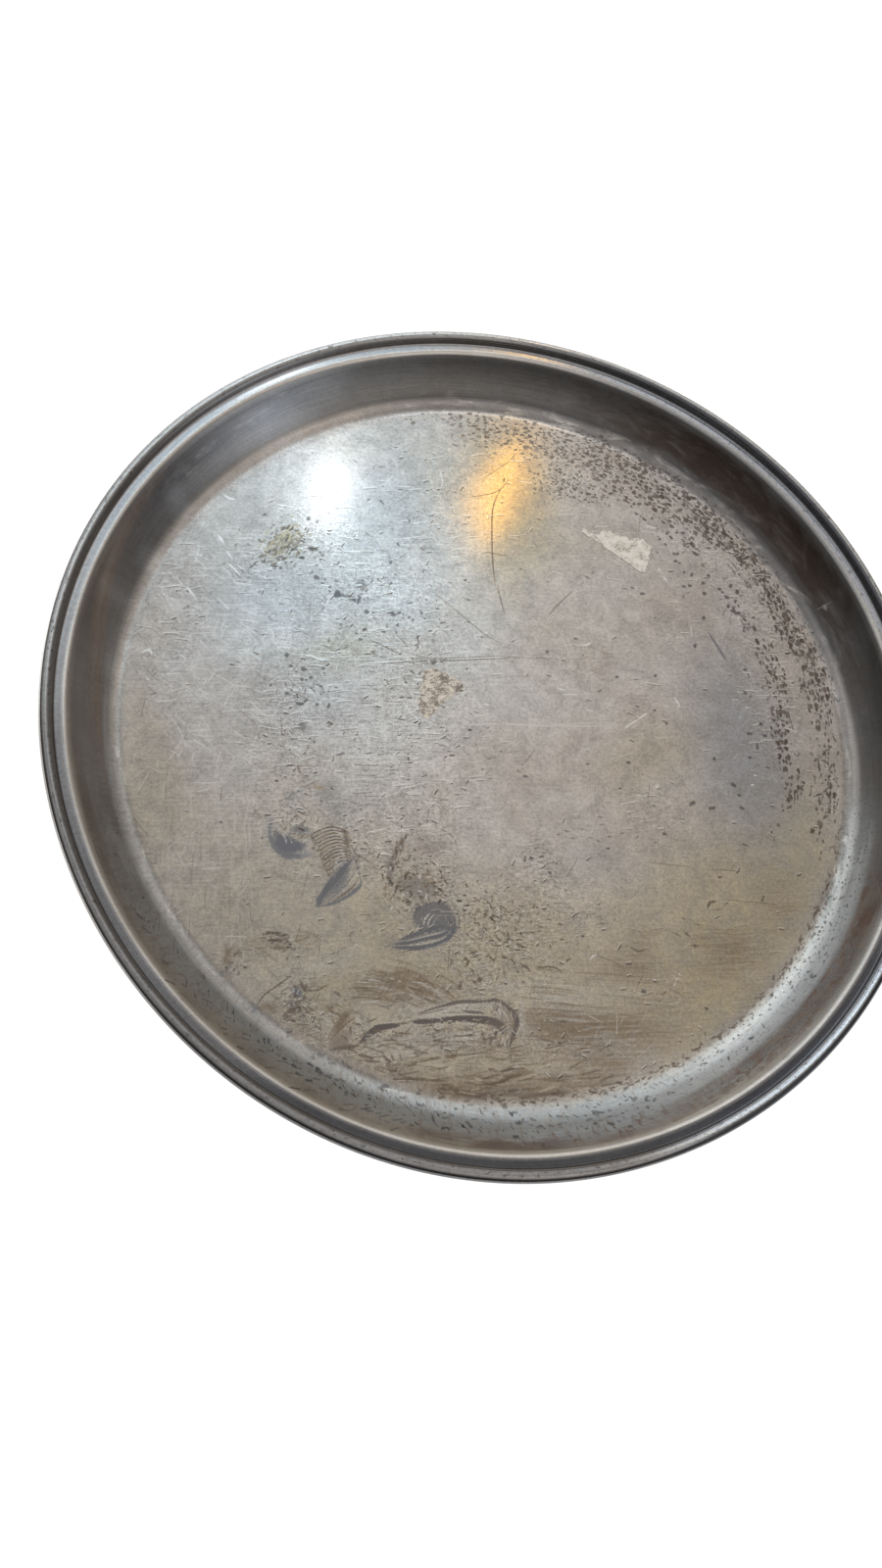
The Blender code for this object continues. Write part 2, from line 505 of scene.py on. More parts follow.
class Marks:
    """Dots and tapered strokes on the tray's upper side, each a chain of
    round-ended segments: ends, half-widths, colour, cover, softness, depth."""

    def __init__(self):
        self.rows = []

    def segment(self, a, b, ha, hb, colour, cover, soft, depth):
        self.rows.append((a[0], a[1], ha, b[0], b[1], hb, *colour, cover, soft, depth * 0.06))

    def stroke(self, points, width, colour=INK, cover=0.8, soft=0.18, depth=0.0, tips=0.25, swell=None):
        """width is the full width in mm at its widest; it narrows to tips of
        that at both ends. swell lists (share of the length, share of the width)."""
        path = smooth_path(points)
        lengths = np.concatenate([[0], np.cumsum(np.hypot(*(path[1:] - path[:-1]).T))])
        t = lengths / lengths[-1]
        if swell:
            w = np.interp(t, [s[0] for s in swell], [s[1] for s in swell])
        else:
            w = tips + (1 - tips) * np.clip(np.sin(np.pi * t) * 1.6, 0, 1)
        for i in range(len(path) - 1):
            self.segment(path[i], path[i + 1], width / 2 * w[i], width / 2 * w[i + 1], colour, cover, soft, depth)

    def dot(self, x, y, radius, colour=INK, cover=0.85, soft=0.15, depth=1.0, long=0.0, turn=0.0):
        a = math.radians(turn)
        dx, dy = long * math.cos(a), long * math.sin(a)
        self.segment((x - dx, y - dy), (x + dx, y + dy), radius, radius * 0.85, colour, cover, soft, depth)

    def write(self, mesh, first, corners):
        """Hands every face of the upper side the marks that reach it. first is
        the first face's number, corners the faces' corners in x and y, mm."""
        centre = corners.mean(1)
        reach = np.sqrt(((corners - centre[:, None]) ** 2).sum(-1)).max(1) + 0.06
        count = np.zeros(len(corners), int)
        empty = (0, 0, -9, 0.01, 0, -9, 0, 0, 0, 0, 10.0, 0)
        total = len(mesh.polygons)
        table = np.tile(np.array(empty, float), (SLOTS, total, 1))
        lost = 0
        order = np.argsort(centre[:, 0])
        sorted_x = centre[order, 0]
        widest = reach.max() + 1.2
        for row in self.rows:
            a, b = np.array(row[0:2]), np.array(row[3:5])
            d = b - a
            span = widest + max(row[2], row[5]) + row[10]
            low, high = np.searchsorted(sorted_x, [min(a[0], b[0]) - span, max(a[0], b[0]) + span])
            some = order[low:high]
            q = centre[some] - a
            t = np.clip((q @ d) / max(d @ d, 1e-6), 0, 1)
            away = np.hypot(*(q - t[:, None] * d).T) - max(row[2], row[5]) * 1.3 - reach[some]
            hit = some[away < row[10]]
            free = hit[count[hit] < SLOTS]
            lost += len(hit) - len(free)
            table[count[free], first + free] = (*row[:10], 1 / row[10], row[11])
            count[free] += 1
        names = ("from", "to", "colour", "kind")
        for k in range(SLOTS):
            for n, name in enumerate(names):
                layer = mesh.attributes.new(f"mark_{name}_{k}", "FLOAT_VECTOR", "FACE")
                layer.data.foreach_set("vector", table[k, :, 3 * n : 3 * n + 3].astype(np.float32).ravel())
        print("marks", len(self.rows), "left out of full faces", lost)


def read_marks(g, x, y, rough_edge, colour):
    """Lays the marks over a colour. Returns the colour, and how much of the
    surface they cover."""
    covered = None
    for k in range(SLOTS):
        ax, ay, ha = g.split(g.attribute(f"mark_from_{k}"))
        bx, by, hb = g.split(g.attribute(f"mark_to_{k}"))
        ink = g.attribute(f"mark_colour_{k}")
        cover, sharp, _ = g.split(g.attribute(f"mark_kind_{k}"))
        dx, dy, qx, qy = bx - ax, by - ay, x - ax, y - ay
        t = g.clamp((qx * dx + qy * dy) / (dx * dx + dy * dy + 1e-5))
        rx, ry = qx - dx * t, qy - dy * t
        away = g.math("SQRT", rx * rx + ry * ry)
        half = ha + (hb - ha) * t
        edge = (away - half + rough_edge * (half * 0.5 + 0.06)) * sharp
        amount = g.step(edge, 1.0, -1.0) * cover
        colour = g.mix(amount, colour, ink)
        covered = amount if covered is None else g.max(covered, amount)
    return colour, covered


def pits(m):
    """Corrosion pits in the plate, away from the dense band at the edge."""
    for x, y, r, long, turn in (
        (-66, 49.7, .75, .3, -20), (-64, 47.6, .45, 0, 0), (-61.3, 46.6, .5, .2, 60), (-59, 49, .35, .3, 0),
        (-63, 49.2, .3, .2, 0), (-48, 38, .75, .2, -30), (-38.6, 38, .7, .2, 20), (-36.5, 38.8, .4, .4, 30),
        (-35, 36.8, .3, 0, 0), (-33, 37.3, .35, .3, 60), (-31.5, 36.5, .35, .2, 0), (-28.5, 39.5, .3, .5, -60),
        (-27.5, 37.5, .35, 0, 0), (-32.5, 43, .35, .6, 15), (-42, 30.8, .5, .3, -10), (-50, 27, .6, .1, 0),
        (-51.5, 29.2, .4, 0, 0), (-37.5, 31, .3, .3, 80), (-37, 34, .4, .3, 70), (-30, 29.5, .35, .2, 0),
        (-24, 20.5, .6, .4, 30), (-75, 18.7, .65, .2, 60), (-73.5, 14.6, .5, .2, 0), (-69, 14, .8, .2, 20),
        (-71.5, 12.4, .55, .1, 0), (-66.5, 11, .5, .2, 0), (-62.5, 15, .55, .2, 80), (-61, 16.3, .35, .5, 40),
        (-62, 13, .3, 0, 0), (-69.5, 10, .5, .2, 60), (-74.3, 4.3, .5, .3, -20), (-70, 1, .7, .7, 10),
        (-68, 2.2, .4, .4, 50), (-64, 1.2, .4, .2, 0), (-60.2, 1, .45, .6, 70), (-63, 5, .3, 0, 0),
        (-80, 7, .3, .3, 80), (-12.5, 54.5, .4, .3, 20), (-11.5, 46.5, .35, .2, -20), (-39.8, 58.8, .5, .2, 40),
        (-37.2, 66.4, .4, .4, -50), (-43.5, 83.5, .3, .9, -50), (-85.5, 73, .4, .2, 0), (-46.5, 50.3, .3, .6, 70),
        (-58.5, 56.5, .3, .4, 60), (-65, 57, .35, .1, 0), (-11.3, -4, .5, .2, 0), (-64.6, -12.6, .35, .1, 0),
        (-55.5, -16.2, .35, .9, 20), (-26.3, 8.8, .45, .3, 60), (-33.8, 12, .4, .2, -60),
        (17.3, 28.6, .4, .4, 25), (28, 34.8, .35, .4, 0), (43, 21, .4, .4, 30), (57.6, 22.8, .45, .3, 30),
        (56.5, 9, .45, .2, 0), (60.6, 4.2, .35, .2, 0), (54.8, 56.2, .5, .5, 15), (51, 58.2, .4, .3, -20),
        (78.4, 48.5, .6, .3, 70), (59, 46.5, .3, .1, 0), (74, 36.5, .6, .4, 70), (71.5, 61, .5, .3, 0),
        (68.5, 86.8, .65, .4, -15), (70.4, 84.8, .5, .4, 70), (72.9, 84.4, .5, .3, 10), (75.3, 82, .35, .2, 60),
        (76, 80.3, .45, .4, 60), (73.3, 79.2, .75, .2, 10), (74.6, 79.9, .4, .2, 0), (70, 75, .5, .2, 20),
        (69, 71.6, .55, .3, 10), (70.5, 71, .4, .1, 0), (81.7, 66.6, .65, .2, 50), (79.4, 63.3, .65, .2, 0),
        (73.9, 61.6, .6, .2, 10), (79.5, 58.9, .8, .1, 30), (75, 66.5, .5, .4, 60), (72, 67.3, .4, .3, 40),
        (85.8, 61.5, .6, .2, 0), (86.8, 60.2, .5, .1, 0), (88.5, 58.2, .75, .3, -10), (90.5, 63.3, .7, .2, 60),
        (92.8, 60.8, .7, .2, -40), (91.8, 57, .55, .3, 70), (88.7, 54.5, .65, .2, 70), (90.5, 52.6, .6, .5, -10),
        (92.7, 51.9, .75, .1, 0), (94.2, 46, .35, .5, 70), (94, 44.6, .5, .1, 0), (98.5, 50.7, .5, .2, 20),
        (92, 19, .6, .3, 0), (93, 28.5, .5, .3, 0), (92.2, 2.8, .5, .6, 0), (97, 7, .6, .2, 20), (98.2, 2.5, .6, .3, 0),
        (94.7, -2, .4, .8, 85), (91.5, -6.5, .5, .3, 0), (77.7, -8, .5, .3, 60), (84.2, -17.6, .65, .4, -30),
        (86, -21.3, .5, .2, 0), (86.6, -26, .5, .5, -20), (8, -19.7, .35, .5, 0), (45.5, -11.8, .45, .4, 0),
        (9.3, -48.8, .5, .2, 0), (15.5, -53.5, .5, .1, 0), (36.3, -43.8, .35, .4, 0), (57, -37.4, .45, .3, 0),
        (46.2, -92, .75, .1, 0), (67.5, -97, .5, .2, 0), (26, -74.5, .4, .2, 0), (12.8, -48, .3, .5, 20),
        (-93.3, -42.5, .45, 0, 0), (-76.3, -27.2, .4, .3, 0), (-83, -89, .35, .3, 0), (75.3, -26.8, .5, .8, 10),
        (68, -25.5, .6, .8, 30), (30.5, -13.5, .3, .4, 0), (5.5, -90.5, .4, .2, 0),
    ):
        m.dot(x, y, r * 1.1, INK, 0.8, 0.24, 0.9, long, turn)
    # Pits that have joined up.
    for x, y, r, c in ((-58.6, 44.1, 1.15, .8), (-57.2, 43.6, .75, .7), (-55.8, 43.2, .65, .6), (-54.4, 43.3, .8, .7), (-53, 43.0, .6, .6), (-51.8, 42.4, 1.1, .8), (-50.8, 43.6, .7, .7), (-51.2, 41.4, .6, .6),
                       (-59.6, 43.2, .4, .5), (-53.6, 42.2, .5, .5), (-50.2, 44.8, .45, .5), (-49, 42.6, .4, .5), (-47.8, 43.8, .35, .5)):
        m.dot(x, y, r, INK, c, .35, 0, r * .45, (x * 97) % 180)
    m.stroke([(-52.4, 48.8), (-50.4, 49.2), (-48.6, 48.4), (-47.4, 48.9)], .6, INK, .6, .25, 0, .5)
    m.stroke([(-51.5, 50.2), (-49.8, 50.3), (-49.3, 48.6)], .7, INK, .5, .25, .5, .5)
    m.dot(-49.3, 47.3, 1.15, UMBER, .5, .5, .7, .3, 20)
    m.stroke([(-64.5, 8.6), (-63, 8.0), (-62.2, 6.6), (-61.8, 5.8)], .85, INK, .55, .25, .6, .6)
    m.stroke([(-58.5, 44.9), (-59.5, 43.9)], .5, INK, .5, .2, .4, .5)
    # A round pit with a pale middle.
    m.dot(-68.6, -7.2, 1.45, INK, .42, .6, .8, .2, -30)
    m.dot(-68.0, -7.6, .45, SLATE, .6, .3, -.3)
    m.dot(-69.2, -6.6, .5, INK, .5, .3, .3)
    # A grain of metal stands up from the floor.
    m.dot(55.4, -20.2, .75, BRIGHT, .75, .5, -2.0)
    m.stroke([(55.2, -21.1), (56.6, -20.7)], .6, UMBER, .5, .25, .3, .6)


def scratches(m):
    for points, width, colour, cover in (
        ([(0, 24.9), (12, 25.6), (22, 26.2)], .36, UMBER, .24),
        ([(-38, 16.5), (-30, 19.1), (-24, 20.3)], .3, UMBER, .3),
        ([(-36, 24.6), (-30, 22.7), (-24, 21.9), (-14, 22.7)], .35, UMBER, .35),
        ([(-46.5, 18.6), (-42, 19), (-36, 20.2), (-32, 21.2)], .35, BRIGHT, .55),
        ([(-46.5, 26.9), (-42, 25.3), (-36.5, 22.8)], .4, UMBER, .5),
        ([(-24, 48.3), (-19, 44.2), (-12, 38.5), (-6, 33.6), (0, 30.4)], .35, UMBER, .4),
        ([(18, 43), (21, 47), (25, 51.5), (28, 54.6)], .38, UMBER, .42),
        ([(1.2, 94.9), (-1.9, 85.6), (-2.4, 67.9), (-1.6, 53.3)], .5, UMBER, .5),
        ([(-.7, 53.5), (.4, 48), (1.8, 42.1)], .42, UMBER, .4),
        ([(-6.7, 66.1), (-4, 67.0), (0, 66.6), (3.5, 66.7)], .42, UMBER, .42),
        ([(-12.6, 89.4), (-6, 91.2), (0.4, 94.1), (5.3, 100.6)], .4, UMBER, .4),
        ([(-43.9, 18.2), (-30, 20.4), (-14, 22.4), (3.2, 24.7)], .4, UMBER, .55),
        ([(-43.4, 19.4), (-29, 21.3), (-13, 23.4), (1.2, 25.4)], .34, UMBER, .45),
        ([(-43.6, 18.8), (-29.5, 20.85), (-13.5, 22.9), (2.2, 25.05)], .3, BRIGHT, .45),
        ([(-5, 99), (-1, 102.5), (4, 107), (8, 112)], .35, UMBER, .3),
        ([(-18, -3.0), (-10, -1.9), (0, -.9), (12, -.5), (22, 0.2), (33, 1), (41, 1.9)], .42, PALE, .62),
        ([(10, 1.5), (20, .6), (30, 1.9), (38, 2.8), (44, 2.4)], .3, PALE, .5),
        ([(44.8, 1.0), (47, 2.9), (50, 4.9)], .5, BRIGHT, .85),
        ([(50, 5.1), (52, 6.6), (53.8, 7.8)], .5, BRIGHT, .9),
        ([(46.8, 1.3), (49.4, 2.6)], .3, BRIGHT, .45),
        ([(64.2, 14.8), (65.2, 13.2), (66, 12.6)], .75, BRIGHT, .85),
        ([(65.9, 12.4), (65.8, 10.9)], .6, BRIGHT, .85),
        ([(61.5, 14.2), (63.4, 14.3)], .4, PALE, .5),
        ([(20.5, 14.6), (22, 14.2), (23.6, 14.1)], .55, BRIGHT, .55),
        ([(30.5, 32), (32, 32.6), (34, 33.8)], .6, BRIGHT, .5),
        ([(28, -82.4), (29.2, -81.1), (30.5, -80.5)], .5, BRIGHT, .6),
        ([(-69.5, 18.8), (-67, 19.3), (-64.5, 18.3), (-61, 18.8)], .45, BRIGHT, .6),
        ([(-65, 35.6), (-61.3, 35.2)], .45, BRIGHT, .5),
        ([(-64.5, 34.4), (-61.3, 32.7)], .45, BRIGHT, .5),
        ([(-58, 33.4), (-55.5, 32.5)], .35, BRIGHT, .45),
        ([(-72, 29.1), (-68.5, 29)], .35, BRIGHT, .45),
        ([(-101, 63), (-99.6, 61), (-99, 59.8)], .8, BRIGHT, .7),
        ([(-98, 57), (-95.5, 54)], .5, BRIGHT, .6),
        ([(-97.2, 52.2), (-94.5, 50), (-92.5, 47.4)], .45, BRIGHT, .6),
        ([(-94, 52), (-90.6, 49.3)], .35, BRIGHT, .5),
        ([(-110, 41.5), (-108.8, 39.4), (-107.5, 38.3)], .6, BRIGHT, .6),
        ([(-109, 40.5), (-106.4, 36.4)], .4, BRIGHT, .5),
        ([(-123, 15.2), (-120.6, 16.4), (-119.6, 14.5)], .7, BRIGHT, .65),
        ([(-122.4, 13.8), (-121, 12.6)], .4, BRIGHT, .5),
        ([(-121, 6), (-119.6, 5.4)], .5, BRIGHT, .6),
        ([(-100, 79.5), (-98, 78.3), (-96, 78.2)], .7, BRIGHT, .55),
        ([(-101, 10.2), (-97, 8.6), (-92.5, 6.3)], .35, PALE, .55),
        ([(-110, 5.5), (-103, 1.2), (-96, -1)], .35, PALE, .4),
        ([(-82, 29), (-80.3, 26.5), (-79.5, 23)], .8, PALE, .5),
        ([(-84, 25), (-82.6, 21)], .7, PALE, .45),
        ([(-88.5, 17), (-87.6, 14.2)], .6, PALE, .5),
        ([(61.8, 68), (62.4, 66.2)], .7, BRIGHT, .6),
        ([(63.6, 64.4), (64.8, 62.6)], .8, BRIGHT, .7),
        ([(57.8, 86), (60, 85.5), (62.6, 85.2)], .6, BRIGHT, .5),
        ([(72.8, 45), (72.9, 42.4), (73.2, 40.4)], .6, PALE, .5),
        ([(90.6, -17.2), (92, -16.8)], .5, BRIGHT, .6),
        ([(92.2, -13.2), (93.6, -13.4)], .5, BRIGHT, .5),
        ([(91.5, 13.2), (93.3, 13.2)], .4, BRIGHT, .6),
        ([(39, -11), (43, -9.5), (48, -7.8)], .35, PALE, .5),
        ([(20.8, 61.8), (24.5, 61)], .7, PALE, .5),
        ([(-6.5, 6.2), (-4.4, 6)], .5, BRIGHT, .6),
        ([(-90, -79.6), (-85, -79.4), (-82.8, -79.6)], .35, PALE, .5),
        ([(-94.5, -13.5), (-93, -14.3)], .6, PALE, .5),
        ([(-28.5, 85), (-25.5, 88), (-22.5, 89), (-20.5, 86)], .35, PALE, .35),
        ([(-22, 101), (-21, 95), (-22, 90)], .35, BRIGHT, .3),
        ([(79.5, 43), (82, 38.5), (84.5, 34), (86.2, 31)], 1.0, SLATE, .45),
        ([(-30.2, 31), (-29.5, 27.5), (-30.4, 24.6)], .5, UMBER, .4),
        ([(84, -49.4), (78, -49.1), (73, -49.3)], .4, UMBER, .3),
        ([(77, -59.2), (83, -60), (90, -60), (96, -60.4)], .35, UMBER, .3),
        ([(50, -47.9), (58, -48.4), (66, -48.6)], .35, SEPIA, .35),
    ):
        m.stroke(points, width * 1.1, colour, min(.92, cover * 1.45), .14, 0, .3)


def smears(m):
    """Finger rubs in the tarnish: curls and brush-like streaks."""
    s = m.stroke
    # The crescent at the left and what hangs from it.
    s([(-77.2, -41.1), (-77.8, -43.5), (-77.3, -46.9), (-75.2, -50.2), (-71.9, -52.3), (-68.0, -52.6), (-63.8, -51.6)], 2.1, SLATE, .55, .4, 0, .2,
      [(0, .2), (.2, .45), (.42, 1.1), (.62, 1.25), (.82, .7), (1, .2)])
    s([(-74.9, -45.8), (-72.6, -48.4), (-69.4, -49.2), (-66.6, -48.8)], 4.6, (.215, .22, .245), .62, .8, 0, .3, [(0, .35), (.3, 1.1), (.6, 1), (1, .4)])
    s([(-75.4, -48.6), (-72.6, -50.8), (-69.6, -51.3)], 1.0, INK, .35, .35, 0, .3)
    s([(-70.0, -51.4), (-66.6, -51.8), (-64.2, -50.8)], 2.0, (.40, .40, .41), .45, .6, 0, .4)
    for pts in ([(-72.6, -46.6), (-72.2, -48.4)], [(-70.9, -46.9), (-70.4, -48.4)]):
        s(pts, .45, BRIGHT, .45, .2, 0, .4)
    rub = np.random.default_rng(41)
    for _ in range(44):
        m.dot(rub.uniform(-77, -64), rub.uniform(-46.5, -37.5), rub.uniform(.18, .4), (UMBER, SEPIA, PALE, SEPIA)[rub.integers(4)], rub.uniform(.35, .7), .18, 0, rub.uniform(.1, .8),
              rub.normal(70, 45))
    s([(-70.5, -43.1), (-67.5, -43.3), (-65.6, -44.2)], 2.2, SLATE, .36, .7, 0, .5)
    s([(-69.4, -46), (-66.8, -46.4), (-65.4, -45.6)], .9, SEPIA, .35, .4, 0, .4)
    s([(-78.2, -38.7), (-76.6, -37.7), (-75.4, -38.2)], .6, SEPIA, .5, .3, 0, .3)
    s([(-69.2, -36.8), (-67.5, -38), (-66, -38.7)], .5, UMBER, .5, .25, 0, .3)
    s([(-72.6, -37.3), (-72.2, -39)], .5, SEPIA, .5, .3, 0, .3)
    # Ribbed body of the feather.
    for i in range(12):
        t = i / 11
        x0, y0 = -63.6 + 5.4 * t, -44.5 - 12.0 * t
        x1, y1 = -52.4 + 2.4 * t - 1.2 * t * t, -43.6 - 9.6 * t
        bow = 2.1 - 0.6 * t
        mid = ((x0 + x1) / 2 + .3, (y0 + y1) / 2 + bow)
        colour = (UMBER, (.21, .165, .13), SEPIA, (.2, .18, .175))[i % 4]
        s([(x0, y0), ((x0 + mid[0]) / 2, (y0 + mid[1]) / 2 + .5), mid, ((x1 + mid[0]) / 2 + .3, (y1 + mid[1]) / 2 + .4), (x1, y1)], .62, colour, .82, .16, .1, .3,
          [(0, .9), (.2, .5), (.45, .9), (.7, .45), (.88, 1.1), (1, .5)])
        s([(x0 + .8, y0 - .55), (mid[0] + .2, mid[1] - .5), (x1 - .6, y1 - .5)], .32, PALE, .55, .14, 0, .3)
    s([(-51.7, -44.9), (-50.8, -49.0), (-49.4, -52.0)], .4, SEPIA, .5, .2, 0, .3)
    for x, y in ((-64.2, -45.2), (-63.6, -46.5), (-62.9, -48), (-63.4, -49.4), (-62, -50.2), (-61, -51.6), (-60.4, -53.2), (-59.6, -55), (-58.9, -56.6), (-58.2, -58), (-57.1, -59.2)):
        m.dot(x, y, .42, UMBER, .6, .25, .2, .3, 70)
    s([(-60.8, -41.3), (-58.5, -41), (-57, -41.6)], .4, UMBER, .45, .2, 0, .3)
    s([(-58.6, -50.5), (-57.6, -54), (-56.6, -57.5)], .9, SEPIA, .35, .4, 0, .4)
    s([(-55.6, -48.2), (-53.4, -49.6), (-51.6, -51.2)], .6, UMBER, .5, .25, 0, .4)
    s([(-51.2, -50.4), (-49.8, -52.8), (-48.9, -55.4), (-48.1, -58.4)], .55, SLATE, .7, .25, 0, .4)
    s([(-51.6, -46.2), (-51, -49)], .5, UMBER, .4, .25, 0, .4)
    # Its tail.
    s([(-52.4, -56.4), (-55.8, -61.4), (-59.2, -66.4)], 5.2, SLATE, .30, .7, 0, .3, [(0, .5), (.4, 1), (1, .25)])
    s([(-51.0, -52.4), (-52.6, -54.5), (-55.3, -58.3), (-58.1, -61.8), (-60.5, -66.0), (-61.2, -68.6)], 2.3, (.21, .21, .225), .74, .3, 0, .3,
      [(0, .3), (.2, .85), (.5, 1), (.8, .75), (1, .45)])
    s([(-51.4, -55.6), (-53.8, -59.2), (-56.5, -62.8), (-59.5, -66.6)], .55, INK, .5, .16, 0, .3)
    s([(-49.9, -57.0), (-52.2, -60.6), (-55.3, -64.1), (-58.3, -67.1)], .5, SLATE, .7, .16, 0, .3)
    s([(-48.4, -58.7), (-50.7, -62.1), (-53.9, -64.8), (-56.7, -67.0)], .45, UMBER, .6, .16, 0, .3)
    s([(-60.9, -68.8), (-55.9, -67.2), (-51.3, -64.5), (-47.9, -61.3), (-47.9, -58.7)], .95, SLATE, .75, .22, 0, .3)
    s([(-58.6, -67.2), (-55.0, -65.6), (-51.6, -63.2)], .4, INK, .55, .16, 0, .3)
    s([(-60.2, -64.6), (-61.2, -66.6), (-61.7, -68.4)], 1.5, SLATE, .75, .3, 0, .6)
    for o in (0.0, 1.0, 2.0):
        s([(-52.6 + o * .5, -56.0 - o * .4), (-55.4 + o * .6, -59.4 - o * .3), (-58.4 + o * .7, -62.8 - o * .2)], .32, PALE, .5, .16, 0, .3)
        s([(-53.4 + o * 1.2, -57.6 - o * .7), (-56.2 + o * 1.2, -61.2 - o * .5), (-58.8 + o * 1.0, -64.8 - o * .3)], .35, SEPIA, .55, .16, 0, .3)
    s([(-61.5, -68), (-59, -67.6), (-56.4, -67.4), (-54.4, -66.1), (-52.4, -64.6), (-50.6, -63.2), (-48.8, -61.8), (-48, -60.6)], .75, SLATE, .7, .25, 0, .4)
    s([(-59.6, -65.4), (-57, -64.4), (-54.8, -63.3), (-53, -62)], .45, SEPIA, .5, .2, 0, .3)
    s([(-56, -66.9), (-53.2, -65.4), (-50.2, -64.6)], .4, SLATE, .5, .2, 0, .3)
    s([(-55.6, -61.5), (-54, -60), (-53, -58.2)], .35, SEPIA, .45, .2, 0, .3)
    s([(-60.6, -66.4), (-58.6, -66.2), (-57, -66.8)], .6, UMBER, .45, .25, 0, .4)
    # The trail above it.
    s([(-66.4, -13.2), (-67, -15.8), (-68.4, -18.2)], .45, SEPIA, .45, .3, 0, .3)
    s([(-69.6, -20.6), (-69.4, -22.6), (-68.2, -24.4)], .55, UMBER, .5, .25, 0, .4)
    s([(-70.8, -22.4), (-68.6, -21.4), (-65, -21), (-62, -20.8)], .5, SEPIA, .35, .3, 0, .3)
    s([(-68.6, -29.2), (-66, -28), (-63.8, -26.6), (-62.4, -26.2)], .5, SEPIA, .5, .3, 0, .3)
    s([(-70.4, -31.6), (-69.2, -30.4), (-67.6, -30)], .6, SLATE, .6, .3, 0, .4)
    s([(-73.2, -33.4), (-71.6, -32.2), (-70.2, -30.6)], .7, SLATE, .5, .35, 0, .4)
    s([(-74.6, -36.4), (-73.4, -34.4)], .5, SEPIA, .4, .3, 0, .4)
    s([(-64.6, -27.4), (-62.6, -28.8), (-60.6, -28.2)], 1.2, (.42, .33, .2), .4, .6, 0, .4)
    s([(-60.8, -31), (-58.6, -32.6), (-56.8, -35.2), (-55.4, -38.8)], 3.8, SLATE, .10, 1.3, 0, .5)
    s([(-59, -26.4), (-57.8, -28.2)], 2.2, SLATE, .2, 1.0, 0, .6)
    s([(-84.6, -34), (-85.2, -38), (-85.4, -41)], .4, PALE, .4, .25, 0, .3)
    s([(-83.8, -37), (-81.6, -39), (-80.4, -41)], .8, SEPIA, .35, .5, 0, .3)
    for pts in ([(-53.6, -38.2), (-52.6, -40.4), (-51.8, -43)], [(-51.2, -39.6), (-48.6, -38.6), (-46.6, -38)], [(-52, -37.6), (-49.6, -37.2), (-47, -36.6)],
                [(-50.4, -41.6), (-47.6, -41)]):
        s(pts, .5, PALE, .5, .25, 0, .3)
    # The second rub: a mottled arc, crumbs under it, and a dark disc.
    s([(-31, -46.6), (-22, -45.6)], 7.0, (.36, .33, .33), .16, 1.6, 0, .8)
    s([(-35, -59.6), (-29, -61.2), (-24, -61.6)], 6.4, (.31, .30, .285), .22, 1.2, 0, .5)
    arc = smooth_path([(-32.6, -42.8), (-35.6, -46.8), (-37.2, -51.7), (-38.3, -56.3), (-38.7, -60.6)], .4)
    s(arc[::6], 1.7, (.28, .24, .21), .42, .5, 0, .3)
    for i in range(64):
        k = int(rub.integers(len(arc) - 1))
        heading = math.degrees(math.atan2(*(arc[k + 1] - arc[k])[::-1]))
        m.dot(arc[k, 0] + rub.normal(.3, .75), arc[k, 1] + rub.normal(0, .4), rub.uniform(.18, .42), (UMBER, INK, SEPIA, UMBER, PALE)[i % 5], rub.uniform(.5, .85), .16, .2, rub.uniform(.1, .8),
              heading + rub.normal(0, 32))
    for _ in range(22):
        t = rub.random()
        m.dot(-39.8 + 1.6 * t * t + rub.normal(0, .5), -55.0 - 11.0 * t, rub.uniform(.16, .34), SEPIA if rub.random() < .6 else PALE, rub.uniform(.3, .6), .2, 0, rub.uniform(.1, .6), rub.normal(90, 30))
    for pts, w, tone, c in (
        ([(-32.1, -43.0), (-28.5, -41.5), (-25.4, -41.2)], .34, SEPIA, .45), ([(-31, -44.8), (-27.5, -43.4), (-23.4, -43.0)], .3, SEPIA, .35), ([(-30.4, -43.8), (-26.6, -42.4)], .3, PALE, .4),
        ([(-21.3, -40.8), (-19.6, -41.2)], .42, UMBER, .6), ([(-18.8, -41.8), (-17.3, -43.2)], .45, UMBER, .6), ([(-16.9, -43.9), (-16.2, -45.6)], .4, UMBER, .55),
        ([(-17.1, -47.7), (-16.5, -49.6)], .36, UMBER, .4), ([(-34.4, -52.8), (-32.1, -51.4), (-29.6, -50.9)], .34, UMBER, .4), ([(-27.6, -50.8), (-24.8, -51.4)], .34, SEPIA, .45),
        ([(-34.0, -53.8), (-31.0, -52.2), (-27.0, -51.7)], .32, PALE, .5), ([(-24.6, -51.8), (-23.0, -53.2)], .6, UMBER, .62), ([(-22.4, -54.2), (-21.0, -56.0)], .7, INK, .62),
        ([(-20.6, -57.0), (-19.5, -59.4)], .65, UMBER, .62), ([(-33.2, -50.2), (-29.2, -52.6), (-25.4, -55.6)], .3, PALE, .45), ([(-31.0, -49.2), (-27.2, -51.0)], .28, PALE, .4),
        ([(-36.6, -49.4), (-33.2, -47.8)], .3, SEPIA, .4), ([(-29.4, -46.2), (-25.6, -47.4), (-22.8, -46.6)], .32, SEPIA, .4),
    ):
        s(pts, w, tone, c, .15, 0, .4)
    crumbs = np.random.default_rng(47)
    for _ in range(170):
        m.dot(-6.4 + crumbs.normal(0, 8.5), -69.3 + crumbs.normal(0, 5.5), crumbs.uniform(.13, .32), ((.10, .08, .065), (.14, .11, .085), PALE, SEPIA)[crumbs.integers(4)],
              crumbs.uniform(.55, .95), .14, .1, crumbs.uniform(.1, .7), crumbs.uniform(0, 180))
    for _ in range(110):
